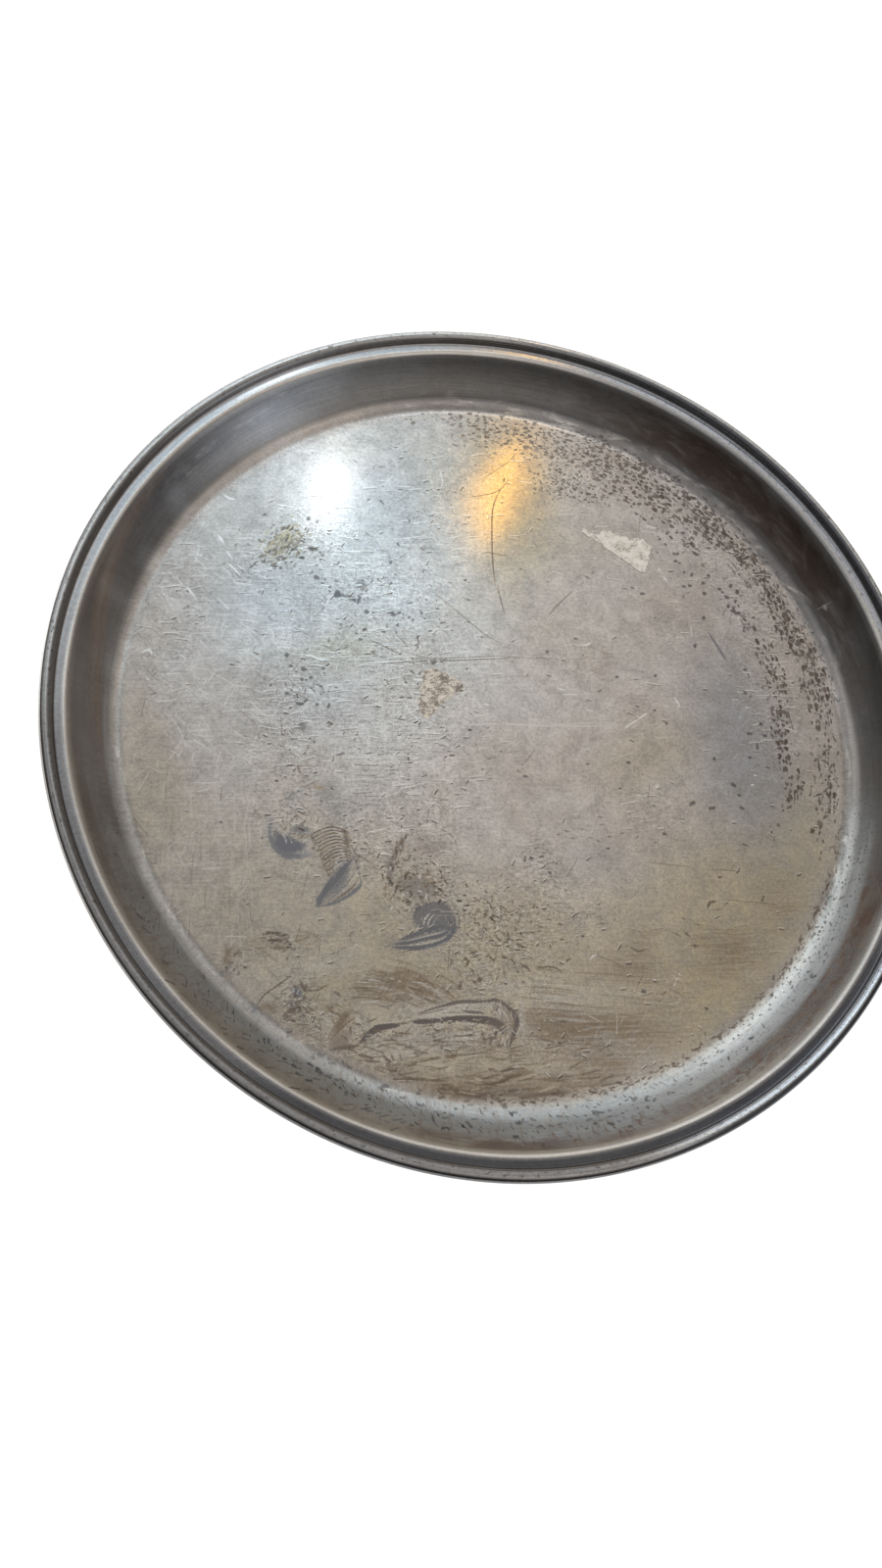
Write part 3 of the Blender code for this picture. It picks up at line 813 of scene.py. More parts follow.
        m.dot(-30.2 + rub.normal(0, 5.4), -60.6 + rub.normal(0, 3.5), rub.uniform(.18, .40), ((.10, .08, .07), UMBER, PALE, SEPIA, (.12, .095, .08))[rub.integers(5)], rub.uniform(.55, .95), .14, .1, rub.uniform(.05, .8), rub.normal(10, 50))
    for x, y, r in ((-35.6, -61, .7), (-33.4, -63, .8), (-31.6, -65.3, .55), (-29.5, -66.4, .5), (-36.8, -59.5, .4), (-32.5, -56, .5), (-30.4, -57.6, .45), (-29.4, -53.6, .4),
                    (-27.6, -56.9, .4), (-35.2, -54.5, .35), (-26.4, -60.4, .4), (-31, -61, .45), (-34.4, -57.8, .4), (-23.8, -63, .5), (-22.4, -61.8, .35), (-28.4, -62.6, .45),
                    (-35.4, -64.8, .5), (-25.4, -55.2, .35), (-37, -63.6, .3), (-33.6, -59.4, .35), (-29.8, -60, .3), (-33, -52, .3), (-27.8, -51, .3)):
        m.dot(x, y, r, UMBER, .55, .3, .2, r * .5, (x * 37) % 180)
    slate = (.195, .198, .212)
    m.segment((-26.0, -70.5), (-21.8, -70.1), 4.7, 4.7, slate, .8, .4, 0)
    s([(-30.4, -71.4), (-29.6, -68.2), (-26.4, -66.1), (-22.0, -65.9), (-18.8, -67.8)], .45, INK, .5, .2, 0, .3)
    for pts, w, c in (
        ([(-27.4, -73.4), (-26.6, -71.0), (-25.1, -69.1)], .6, .55), ([(-25.9, -73.6), (-25.3, -71.4), (-23.7, -69.5)], .5, .55), ([(-28.3, -72.0), (-27.4, -70.4)], .35, .35),
        ([(-24.4, -73.0), (-23.2, -70.9), (-21.8, -69.8)], .32, .3), ([(-22.2, -67.5), (-20.8, -68.3)], .3, .3), ([(-20.2, -69.6), (-19.6, -71.6)], .28, .25),
    ):
        s(pts, w, PALE, c, .16, 0, .3)
    s([(-17.4, -69.6), (-17.0, -72.6), (-18.4, -76.2), (-22.6, -79.2), (-28.4, -80.7), (-33.4, -80.9), (-37.2, -80.8)], 1.6, slate, .8, .22, 0, .3)
    s([(-18.0, -73.6), (-21.1, -76.0), (-28.3, -77.9), (-33.0, -79.2), (-36.4, -79.9)], 1.5, slate, .78, .22, 0, .3)
    s([(-19.8, -72.7), (-23.8, -74.6), (-29.1, -76.1), (-35.0, -78.5)], 1.5, slate, .78, .22, 0, .3)
    s([(-19.6, -74.6), (-21.9, -75.6), (-27.2, -77.1), (-33.4, -78.9)], .36, PALE, .6, .14, 0, .3)
    s([(-18.4, -75.2), (-21.0, -77.4), (-27.2, -79.2), (-34.0, -80.3)], .36, PALE, .6, .14, 0, .3)
    s([(-21.6, -73.9), (-24.8, -75.3), (-29.0, -76.4)], .3, PALE, .45, .14, 0, .3)
    s([(-19.2, -77.8), (-23.6, -80.2), (-29.0, -81.5)], .3, PALE, .35, .14, 0, .3)
    s([(-24.4, -78.2), (-29.4, -79.4), (-34.4, -79.9)], .4, INK, .45, .16, 0, .3)
    s([(-37.4, -80.2), (-39.4, -80.6), (-41, -80.4)], .35, SLATE, .6, .2, 0, .3)
    s([(-17.8, -66.2), (-16, -68.4), (-15.4, -71), (-15.9, -73.6), (-17.2, -75.6)], .55, SLATE, .7, .25, 0, .4)
    s([(-16.8, -68.6), (-16.8, -71.4)], .4, SLATE, .5, .2, 0, .4)
    s([(-30.8, -68.8), (-31.2, -71.2), (-30.2, -73.6)], .4, SLATE, .5, .3, 0, .4)
    s([(-49.6, -76.2), (-51, -77.6), (-50.4, -79.4)], .5, SEPIA, .6, .25, 0, .4)
    s([(-50.8, -80), (-48.4, -79.8)], .4, SLATE, .5, .25, 0, .3)
    s([(-47.8, -75.6), (-47, -76.4)], .5, UMBER, .45, .2, 0, .4)
    # Short rubs at the left.
    s([(-77.2, -77.6), (-75, -77.8), (-72.4, -77.8)], .85, UMBER, .62, .25, 0, .5)
    s([(-76.2, -80.2), (-73.6, -80.1), (-70, -80.3)], .9, UMBER, .6, .25, 0, .4)
    s([(-75.4, -82.4), (-72.8, -82.6), (-70.8, -82)], .9, SEPIA, .6, .35, 0, .4)
    s([(-72.6, -80.8), (-67.6, -80.2), (-63.8, -78.4)], .45, SEPIA, .45, .3, 0, .3)
    s([(-66, -77), (-62.4, -77.8), (-60.6, -79.2)], .5, SEPIA, .4, .35, 0, .3)
    s([(-87.2, -82.4), (-88.8, -85.4), (-89.6, -88.6)], 1.0, SEPIA, .4, .5, 0, .3)
    s([(-85.8, -84.2), (-86.4, -87.4)], .7, SEPIA, .35, .45, 0, .3)
    s([(-90.8, -91.2), (-89, -90.4), (-87.4, -88.6)], .9, SLATE, .4, .5, 0, .3)
    s([(-88.4, -91.4), (-86.4, -90.4)], .7, SLATE, .35, .4, 0, .3)
    s([(-78.4, -83.4), (-76, -85), (-73.6, -86.6)], .6, SEPIA, .35, .4, 0, .3)
    s([(-78.8, -100.2), (-76.6, -97.2), (-73.6, -94.8), (-71, -92.8), (-69.2, -91.4)], .5, UMBER, .7, .2, 0, .5)
    s([(-80.4, -103), (-79.2, -101.4), (-78.2, -101.6)], 1.2, SLATE, .5, .4, 0, .4)
    s([(-77.8, -101.6), (-75.6, -100.6), (-73, -102.6)], 2.2, SEPIA, .3, .8, 0, .4)
    s([(-68.6, -95), (-66.8, -95.8), (-65.6, -97.4)], 2.0, SLATE, .5, .6, 0, .5)
    s([(-66, -92.6), (-65, -94.4), (-63.8, -96)], 1.0, UMBER, .5, .35, 0, .4)
    s([(-64.2, -95.2), (-61.4, -95.4), (-59.2, -94.6), (-57.2, -93.4)], .55, UMBER, .6, .25, 0, .3)
    s([(-62, -93.2), (-60.4, -94.2), (-58.6, -94)], .4, SEPIA, .5, .25, 0, .3)
    s([(-70, -102.4), (-67.6, -101.6), (-65.8, -101.6), (-66.8, -99.8)], 1.5, UMBER, .45, .45, 0, .4)
    s([(-69.2, -98.6), (-67.8, -100)], 1.0, SLATE, .45, .35, 0, .4)
    for x, y in ((-64.2, -101), (-63.2, -102.2), (-64.4, -103.2), (-62, -101.4), (-53.8, -96.6), (-54.6, -95.9)):
        m.dot(x, y, .45, UMBER, .6, .25, .2, .4, -30)
    s([(-62, -101.2), (-59.4, -102.6), (-57, -104.6)], .5, SEPIA, .5, .25, 0, .3)
    s([(-57.6, -99.8), (-55.6, -102), (-53.4, -102.8)], 1.1, SEPIA, .5, .4, 0, .3)
    s([(-50.4, -101.8), (-52.2, -103.4), (-53.4, -106), (-55.4, -108.4)], 2.4, SEPIA, .36, .7, 0, .4)
    s([(-58.4, -84), (-55.4, -83.4), (-52.4, -81.6), (-49.6, -80.6)], .35, SLATE, .4, .25, 0, .3)
    s([(-61.6, -86.6), (-58, -84.8), (-55, -83.2)], .35, SLATE, .35, .25, 0, .3)
    # The long rub at the bottom.
    def s(points, width, *rest):
        m.stroke(points, width * 1.15, *rest)

    dusk = (.175, .152, .148)
    s([(-56.0, -113.4), (-53.1, -112.6), (-50.1, -112.6), (-46.3, -110.9)], 1.0, (.21, .17, .15), .65, .25, 0, .4)
    s([(-56.4, -111.0), (-53.8, -107.9), (-51.4, -105.4), (-48.1, -103.1)], .55, SEPIA, .6, .2, 0, .3)
    s([(-55.6, -112.0), (-52.0, -109.0), (-48.6, -106.4)], 3.4, (.34, .28, .23), .28, 1.0, 0, .3)
    s([(-46.5, -110.6), (-44.4, -108.6), (-42.0, -106.7), (-38.5, -105.7), (-34.7, -105.3)], 1.9, dusk, .8, .2, 0, .3, [(0, .45), (.3, 1), (.6, .95), (.85, .8), (1, .3)])
    s([(-34.4, -105.2), (-32.4, -104.6), (-30.6, -104.0)], .4, SEPIA, .5, .2, 0, .4)
    s([(-30.8, -104.1), (-27.4, -104.0), (-23.4, -103.6), (-19.6, -103.1), (-14.9, -102.7), (-10.3, -102.7), (-5.4, -103.1), (-2.3, -104.1)], 1.7, dusk, .8, .2, 0, .3,
      [(0, .35), (.08, .8), (.22, .85), (.3, .6), (.42, .95), (.62, 1.0), (.8, 1.35), (1, .8)])
    s([(-7.0, -103.1), (-4.2, -103.5), (-2.0, -104.7), (-0.9, -106.9)], 2.6, (.225, .185, .17), .5, .5, 0, .3)
    s([(-28.6, -101.5), (-24.0, -99.8), (-19.6, -98.5), (-15.0, -97.4), (-8.5, -97.1), (-3.8, -96.5), (-0.9, -97.7), (1.7, -100.1), (3.1, -102.8), (2.3, -105.8), (1.0, -109.5), (0.5, -111.0)], 1.1,
      (.19, .163, .155), .68, .22, 0, .3, [(0, .3), (.14, .6), (.28, 1), (.42, .9), (.5, .6), (.56, .9), (.66, .8), (.78, 1.4), (.9, 1.2), (1, .6)])
    s([(-28.7, -101.8), (-23.7, -100.7), (-18.9, -99.4)], .36, (.2, .17, .155), .6, .2, 0, .3)
    s([(-3.4, -98.8), (-.2, -101.8)], 3.0, (.36, .30, .28), .3, .9, 0, .6)
    for pts in ([(-27.6, -102.6), (-21.0, -101.6), (-13.6, -101.3), (-6.4, -101.6)], [(-40.6, -105.0), (-35.4, -104.2), (-30.2, -103.0)], [(-4.4, -98.4), (-1.0, -100.4), (.6, -103.4)]):
        s(pts, .4, (.70, .65, .57), .55, .18, 0, .3)
    rub = np.random.default_rng(43)
    for _ in range(70):
        x = rub.uniform(-46, 3)
        y = np.interp(x, (-46, -42, -35, -26, -16, -4, 3), (-110, -106.8, -105.3, -103.8, -102.8, -103.4, -103)) + rub.normal(-1.4, 1.5)
        m.dot(x, y, rub.uniform(.14, .3), (UMBER, PALE, SEPIA, (.70, .62, .47))[rub.integers(4)], rub.uniform(.35, .65), .16, 0, rub.uniform(.3, 1.7), rub.normal(8, 26))
    for i in range(26):
        a = (i * 37 % 26) / 25
        x, y = -2.4 + 4.8 * math.sin(a * 2.6) + (i * 13 % 7) * .35 - 1.0, -96.8 - 13.5 * a
        m.dot(x, y, .2, (UMBER, INK, SEPIA, PALE)[i % 4], .5, .16, 0, .6, 100 - 50 * a)
    s([(-14.6, -100.2), (-11, -100.6), (-7.4, -100.6)], .7, INK, .55, .22, 0, .4)
    s([(-21.6, -101.2), (-17, -100.8), (-14, -101)], .35, UMBER, .45, .2, 0, .3)
    s([(-41, -99.4), (-38.4, -99.7), (-36.6, -98.8)], .6, SLATE, .5, .25, 0, .3)
    s([(-31.6, -97.6), (-30.8, -96.2)], .5, UMBER, .5, .2, 0, .3)
    s([(-45.6, -104.6), (-43.4, -104.2), (-41.6, -103)], .45, UMBER, .5, .2, 0, .3)
    s([(-49.4, -110.6), (-46.6, -109), (-45, -107.4)], .6, SEPIA, .5, .3, 0, .3)
    s([(-53.4, -104), (-50.4, -104.8), (-47.6, -105.4)], .4, SEPIA, .4, .25, 0, .3)
    s([(-46.6, -109.6), (-43.6, -109.4), (-41, -107.8)], .4, PALE, .35, .2, 0, .3)
    s([(-30.6, -116.8), (-26.6, -116.2), (-22.6, -115), (-18, -114.4), (-12.6, -113.6), (-7, -112.8)], .6, UMBER, .5, .25, 0, .3)
    s([(-33.4, -115.2), (-29, -114.8), (-26, -112.6), (-22.6, -110.6), (-19.4, -109.6)], .45, SEPIA, .55, .25, 0, .3)
    s([(-26.4, -118.6), (-22, -118.4), (-18.4, -117)], .5, SEPIA, .4, .3, 0, .3)
    s([(-39.6, -114), (-38.4, -115.6), (-36.6, -117)], .8, UMBER, .6, .25, 0, .4)
    s([(-38, -119.4), (-35.8, -119.2), (-35, -118.2)], .6, UMBER, .5, .25, 0, .4)
    s([(-33.6, -121), (-29, -121.6), (-24.6, -121.4)], .7, UMBER, .55, .3, 0, .3)
    s([(-24.6, -104.8), (-23, -106.8), (-20.8, -106.2), (-18, -105.6)], .6, SEPIA, .45, .3, 0, .3)
    s([(-17, -105.6), (-13.6, -106.2), (-10, -105)], .6, SEPIA, .5, .3, 0, .3)
    s([(-8.6, -106), (-7.8, -108.6), (-7.4, -110.2)], .7, UMBER, .5, .3, 0, .4)
    s([(-57.4, -110.6), (-55.4, -109), (-53, -108)], .5, SEPIA, .5, .25, 0, .3)
    s([(-55.6, -113.6), (-53.8, -113.2)], .5, SLATE, .5, .25, 0, .3)
    s([(-25, -121.4), (-20, -123), (-15, -125.4), (-9, -126.6)], 1.4, UMBER, .32, .6, 0, .4)
    s([(-3, -121.6), (2, -120), (8, -118.4)], 1.6, SEPIA, .35, .6, 0, .3)
    s([(2, -127), (10, -125.6), (20, -124.4)], 1.2, UMBER, .35, .5, 0, .3)
    s = m.stroke
    # Brushed brown film above it.
    for pts, w, c in (
        ([(-44, -88.4), (-38, -89.4), (-32, -88.6), (-27, -90)], 1.2, .3), ([(-40, -86.4), (-33, -87.6), (-26, -89.8)], .7, .35), ([(-46, -91), (-38, -91.4), (-30, -91.6)], 1.0, .25),
        ([(-30, -90.8), (-26, -92.4), (-23.6, -94.4)], 1.4, .4), ([(-33, -93), (-28.6, -94.4), (-24.8, -95.8)], .8, .4), ([(-42, -95.4), (-36, -95.4), (-31, -97)], .9, .3),
        ([(-47, -97), (-41, -97.4), (-35, -97.2)], .8, .28), ([(-35, -89.4), (-34.4, -91.8), (-33.4, -93.6)], .5, .4), ([(-40, -93), (-35, -93.6), (-30.6, -93.4)], .8, .3),
        ([(-30, -86.4), (-25.6, -88.2), (-20, -90)], .4, .4), ([(-28, -86.6), (-24.4, -86.8)], .35, .4), ([(-38, -84.8), (-33, -85.4), (-29, -87)], .5, .3),
    ):
        s(pts, w, SEPIA, c, .4, 0, .3)
    rng = np.random.default_rng(17)
    for _ in range(150):
        t = rng.random()
        x, y = -48 + 28 * t + rng.normal(0, 1.5), -92.6 + rng.normal(0, 3.0) - 2.0 * t
        m.dot(x, y, rng.uniform(.14, .3), (UMBER, SEPIA, PALE, SEPIA)[rng.integers(4)], rng.uniform(.3, .65), .18, 0, rng.uniform(.8, 3.4), 4 - 34 * t + rng.normal(0, 8))
    for cx, cy, wide, tall, turn, count in ((-66, -97.5, 3.6, 3.4, 60, 60), (-68, -103, 2.6, 2.4, 0, 30), (-52, -105, 5.0, 3.0, -40, 50), (-73, -80.5, 5, 2.2, 0, 34),
                                            (-86, -87, 2.6, 4.4, 70, 30), (-3, -104, 3.2, 5.2, 84, 60), (-38, -117.5, 3, 2.4, -40, 26)):
        for _ in range(count):
            m.dot(cx + rng.normal(0, wide * .55), cy + rng.normal(0, tall * .55), rng.uniform(.15, .36), (UMBER, INK, SEPIA, PALE)[rng.integers(4)],
                  rng.uniform(.4, .75), .17, 0, rng.uniform(.2, 1.5), turn + rng.normal(0, 24))
    for _ in range(230):
        x = rng.uniform(-50, 34)
        low = -math.sqrt(127.0 ** 2 - x * x)
        y = rng.uniform(low, -107.5)
        m.dot(x, y, rng.uniform(.16, .42), (UMBER, SEPIA, UMBER, (.62, .56, .44))[rng.integers(4)], rng.uniform(.3, .7), .2, 0, rng.uniform(.5, 3.4), 6 + x * .28 + rng.normal(0, 9))
    # Dark curls and dashes where the film has broken up.
    for pts, w in (
        ([(-14.6, -84.6), (-13.4, -83.6), (-12.6, -84.4), (-13.6, -86.4)], .9), ([(-12.4, -82), (-11.2, -81.4), (-10, -82.2)], .8), ([(-10.6, -80.6), (-9.4, -81.6)], .6),
        ([(-12.6, -86.4), (-11.2, -87.2), (-10.8, -89)], .7), ([(-9.8, -90.4), (-8.2, -90)], 1.4), ([(-11, -90.6), (-10, -91.2)], .8),
        ([(-15, -91), (-15.4, -92.8), (-16.6, -93)], 1.3), ([(-6, -82.2), (-4.4, -83.6), (-3, -82.6)], .7), ([(-1.6, -82.4), (.2, -82.8)], 1.1),
        ([(1, -83), (2.6, -84.2), (2.8, -86)], .7), ([(2.2, -77), (1, -76.4), (.4, -74)], .9), ([(3.6, -78), (5.4, -79), (6.8, -79)], 1.0),
        ([(4.6, -84.6), (6.6, -85.6), (8, -87)], .8), ([(9.6, -85), (12, -85.4), (15.6, -85.2), (18.6, -86.8)], .6), ([(-8, -73.4), (-8.6, -75.6)], .7),
        ([(-3.4, -76.2), (-1.4, -77.2)], .7), ([(10.6, -71.8), (12.6, -72.2)], .5), ([(10.4, -73.6), (12.4, -73.4)], .5),
        ([(17.6, -70.8), (20, -71)], .4), ([(-7.6, -66), (-5, -67)], .4), ([(-12, -64.6), (-9.6, -64.4)], .4), ([(-1, -86.8), (-.6, -88.8)], .5),
        ([(-9.6, -84.2), (-8.4, -83.4)], .5), ([(-16.2, -86.8), (-15.4, -88.2)], .5), ([(42, -77.4), (45, -78.8), (47.4, -78)], .6), ([(63.6, -76), (66.4, -76.2)], .9),
        ([(61.4, -71.4), (63.6, -73.2)], .8), ([(57.6, -72), (60.4, -73.2)], .5), ([(60.8, -66.6), (62.4, -67.4)], .5), ([(65.4, -68.6), (68, -69)], .5),
        ([(70.6, -63), (71.6, -61), (74.2, -60.4)], .9), ([(72, -63.6), (76.6, -63)], .4), ([(77, -62), (78.6, -59.8)], .4),
        ([(33, -32.6), (35, -32.8)], .5), ([(33.6, -35.4), (35.4, -35.2)], .4), ([(20.6, -38.4), (22.8, -38.6)], .45), ([(18.4, -40.2), (19.4, -39.8)], .5),
        ([(22.8, -41), (25.4, -40.8)], .4), ([(26.4, -40.4), (31.6, -40.4)], .35), ([(32.2, -41), (33.8, -41.8)], .5), ([(36, -39.4), (37.6, -39.6)], .45),
        ([(40.8, -38.4), (42.4, -37.8)], .4), ([(46.4, -39.8), (47.6, -38.6)], .5), ([(52.4, -41), (54.4, -40.2)], .5), ([(26, -37.4), (29, -37.6)], .35),
        ([(9.8, -45.4), (12, -45.2)], .4), ([(11.6, -54.4), (14.4, -54)], .4), ([(11, -49.8), (13.6, -50.2)], .35), ([(35, -51), (36.6, -52.2)], .35),
    ):
        s(pts, w, UMBER, .6, .24, .3, .45)
    # Parallel polish lines at the lower right.
    for y, x0, x1, w, c in (
        (-91.8, 5, 24, .5, .5), (-92.8, 12, 25, .35, .4), (-93.4, 6, 20, .4, .4), (-95.2, 4, 12, .5, .5), (-96.6, 12, 24, .45, .6), (-97.2, 10, 38, .35, .4),
        (-90.2, 8, 30, .35, .3), (-86.6, 20, 48, .5, .4), (-85.8, 9, 18, .5, .4), (-88.6, 24, 52, .4, .3), (-98.8, 5, 30, .5, .45), (-100.4, 4, 26, .7, .35),
        (-93.6, 28, 46, .35, .35), (-99.6, 30, 46, .5, .3), (-102.6, 6, 34, .8, .3), (-94.4, 38, 56, .4, .3), (-96, 40, 58, .4, .3), (-105.2, 8, 30, .9, .28),
        (-107.6, 4, 26, .7, .3), (-109.4, 14, 40, .6, .25), (-103.8, 34, 50, .5, .25), (-112, 2, 24, .8, .25), (-114.4, 10, 36, .6, .22), (-84, 34, 50, .6, .3),
    ):
        s([(x0, y), ((x0 + x1) / 2, y - .25), (x1, y - .9)], w, SEPIA, c, .22, .15, .3)
    for y, x0, x1 in ((-94.4, 6, 22), (-96, 8, 26), (-90.8, 10, 34), (-98, 8, 24), (-101.6, 12, 30)):
        s([(x0, y), (x1, y - .7)], .35, PALE, .35, .2, 0, .3)
    for pts in ([(56.6, -86.4), (57.8, -87.6), (59, -87.2)], [(56.4, -90), (57.4, -88.6)], [(58.6, -85.6), (59.2, -86.4)]):
        s(pts, .4, BRIGHT, .6, .2, 0, .4)


def ochre_patch(m):
    """A crusted yellow stain by the bright spot, with pits along its edges."""
    gold, crust = (.60, .49, .27), (.30, .25, .195)
    rng = np.random.default_rng(31)
    lean = math.radians(50)
    m.segment((-82.4, 57.8), (-76.0, 64.4), 1.5, 2.0, (.31, .26, .20), .5, .9, 0)
    m.segment((-84.6, 58.6), (-75.4, 69.0), .5, .75, (.60, .52, .35), .6, .5, 0)
    m.segment((-81.4, 56.0), (-75.2, 62.6), .4, .6, (.48, .41, .28), .5, .4, 0)
    for i in range(170):
        u, v = rng.normal(0, 5.0), rng.normal(0, 2.6)
        x, y = -78.4 + u * math.cos(lean) - v * math.sin(lean), 62.6 + u * math.sin(lean) + v * math.cos(lean)
        tone = ((.40, .33, .21), (.54, .46, .31), (.18, .15, .12), (.13, .11, .09), crust)[(0, 1, 2, 3, 2, 4, 3, 1, 0, 2)[i % 10]]
        m.dot(x, y, rng.uniform(.18, .42), tone, rng.uniform(.6, .9), .18, 0, rng.uniform(.2, 1.1), 50 + rng.normal(0, 20))
    for x, y, r, c in ((-68.4, 61.4, 1.05, .75), (-66.6, 61, .6, .6), (-71.6, 57.0, .75, .75), (-80.6, 52.3, .75, .7), (-78.8, 52.2, .55, .6), (-84.8, 54.2, .6, .65), (-77.8, 56.2, .6, .6),
                       (-86.6, 62.4, .55, .5), (-82, 69.2, .45, .5), (-69.8, 73.4, .7, .6), (-72.8, 66, .6, .5), (-70.4, 69, .55, .5), (-73.6, 60.6, .6, .5), (-75.2, 55.0, .45, .5),
                       (-66.6, 72.6, .55, .5), (-83.2, 56, .4, .4), (-74, 53.4, .35, .45), (-85, 73.4, .45, .5), (-65.2, 60.0, .45, .5), (-71, 63.4, .45, .5), (-79.6, 55.4, .45, .5),
                       (-56.8, 72.4, .5, .3), (-62, 71.8, .4, .2), (-64.2, 59, .5, .5), (-76.6, 53, .3, .4), (-67, 57.6, .35, .4), (-72, 52.6, .3, .35)):
        m.dot(x, y, r, (.12, .11, .098), min(.95, c * 1.3), .24, 0, r * .35, (x * 53) % 180)


def rim_marks(m):
    """Chips in the tarnish of the cove and nicks in the rim, by angle."""
    rng = np.random.default_rng(7)
    # Blue-grey chips scattered low on the near side of the cove.
    for i in range(90):
        a = math.radians(rng.uniform(236, 292))
        r = rng.normal(133.5, 3.2)
        if not 127.5 < r < 141:
            continue
        size = rng.uniform(.18, .5) * (1.5 if rng.random() < .15 else 1)
        m.dot(r * math.cos(a), r * math.sin(a), size, INK, rng.uniform(.35, .7), .2, .4, rng.uniform(.1, .9), math.degrees(a) + 90 + rng.normal(0, 25))
    for x, y, r in ((-38.5, -123.8, .75), (-39.6, -124.6, .5), (-34.5, -125.4, .4), (-46.8, -123.2, .45), (-28.6, -125.9, .5), (-1.4, -129.3, .6), (-56, -121.8, .4), (-70, -117, .5),
                    (-17, -130.2, .4), (8, -128, .5), (-67, -119, .6), (-53, -125, .4), (-44, -128, .4)):
        m.dot(x, y, r, INK, .65, .25, .5, r * .6, math.degrees(math.atan2(y, x)) + 90)
    for pts in ([(-40, -124.4), (-36.6, -125), (-33, -125.8), (-30.6, -126)],):
        m.stroke(pts, .5, BRIGHT, .55, .3, 0, .3)
    # Brown specks where the floor turns up at the near right, and in its bright band.
    for i in range(190):
        a = math.radians(rng.uniform(260, 347))
        r = rng.normal(127.4, .8)
        m.dot(r * math.cos(a), r * math.sin(a), rng.uniform(.16, .42), UMBER, rng.uniform(.45, .8), .18, .2, rng.uniform(.2, 1.0), math.degrees(a) + 90 + rng.normal(0, 22))
    for i in range(60):
        a = math.radians(rng.uniform(288, 338))
        r = rng.uniform(128.6, 135.5)
        m.dot(r * math.cos(a), r * math.sin(a), rng.uniform(.14, .34), INK, rng.uniform(.5, .8), .18, .2, rng.uniform(.1, .7), math.degrees(a) + 90 + rng.normal(0, 30))
    # Pits that run on into the cove at the far right.
    for i in range(150):
        a = math.radians(rng.uniform(8, 80))
        r = rng.uniform(127.0, 130.9)
        m.dot(r * math.cos(a), r * math.sin(a), rng.uniform(.16, .32), INK, rng.uniform(.55, .85), .16, .2, rng.uniform(.3, 1.0), math.degrees(a) + 90 + rng.normal(0, 28))
    # Dark slanting dashes up the near left wall.
    for i in range(46):
        b = rng.uniform(213, 256)
        a = math.radians(b)
        r = rng.uniform(136.6, 143.2)
        m.dot(r * math.cos(a), r * math.sin(a), rng.uniform(.16, .3), INK, rng.uniform(.35, .65), .18, .2, rng.uniform(.5, 1.6), b + 90 + 24 + rng.normal(0, 6))
    # Glints where something has knocked the wall.
    m.stroke([(124.9, 55.9), (124.9 + .9, 55.9 - 2.0)], .8, BRIGHT, .95, .4, -.6, .4)
    m.stroke([(124.9 - 1.6, 55.9 - .9), (124.9 + 2.0, 55.9 + .3)], .5, BRIGHT, .8, .35, -.4, .2)


def pit_arcs(m):
    """Pits by the edge on the right, in strings that bend with the rim."""
    rng = np.random.default_rng(23)
    for _ in range(150):
        b, r = rng.uniform(-14, 66), 127.2 - rng.gamma(2.0, 3.4)
        if r < 104:
            continue
        heading = b + 90 + rng.normal(0, 26)
        for k in range(rng.integers(1, 5)):
            a = math.radians(b)
            x, y = r * math.cos(a), r * math.sin(a)
            m.dot(x, y, rng.uniform(.18, .46), (INK, UMBER, INK)[k % 3], rng.uniform(.55, .85), .18, .5, rng.uniform(.1, .6), heading + rng.normal(0, 18))
            # Painted highlight: a pale dot on the lit side of some pits.
            if rng.random() < .35:
                m.dot(x + .4, y - .5, .16, PALE, .5, .14, 0, .4, heading)
            b += rng.uniform(.35, .9) * math.cos(math.radians(heading - b - 90))
            r -= rng.uniform(.4, 1.2) * math.sin(math.radians(heading - b - 90))


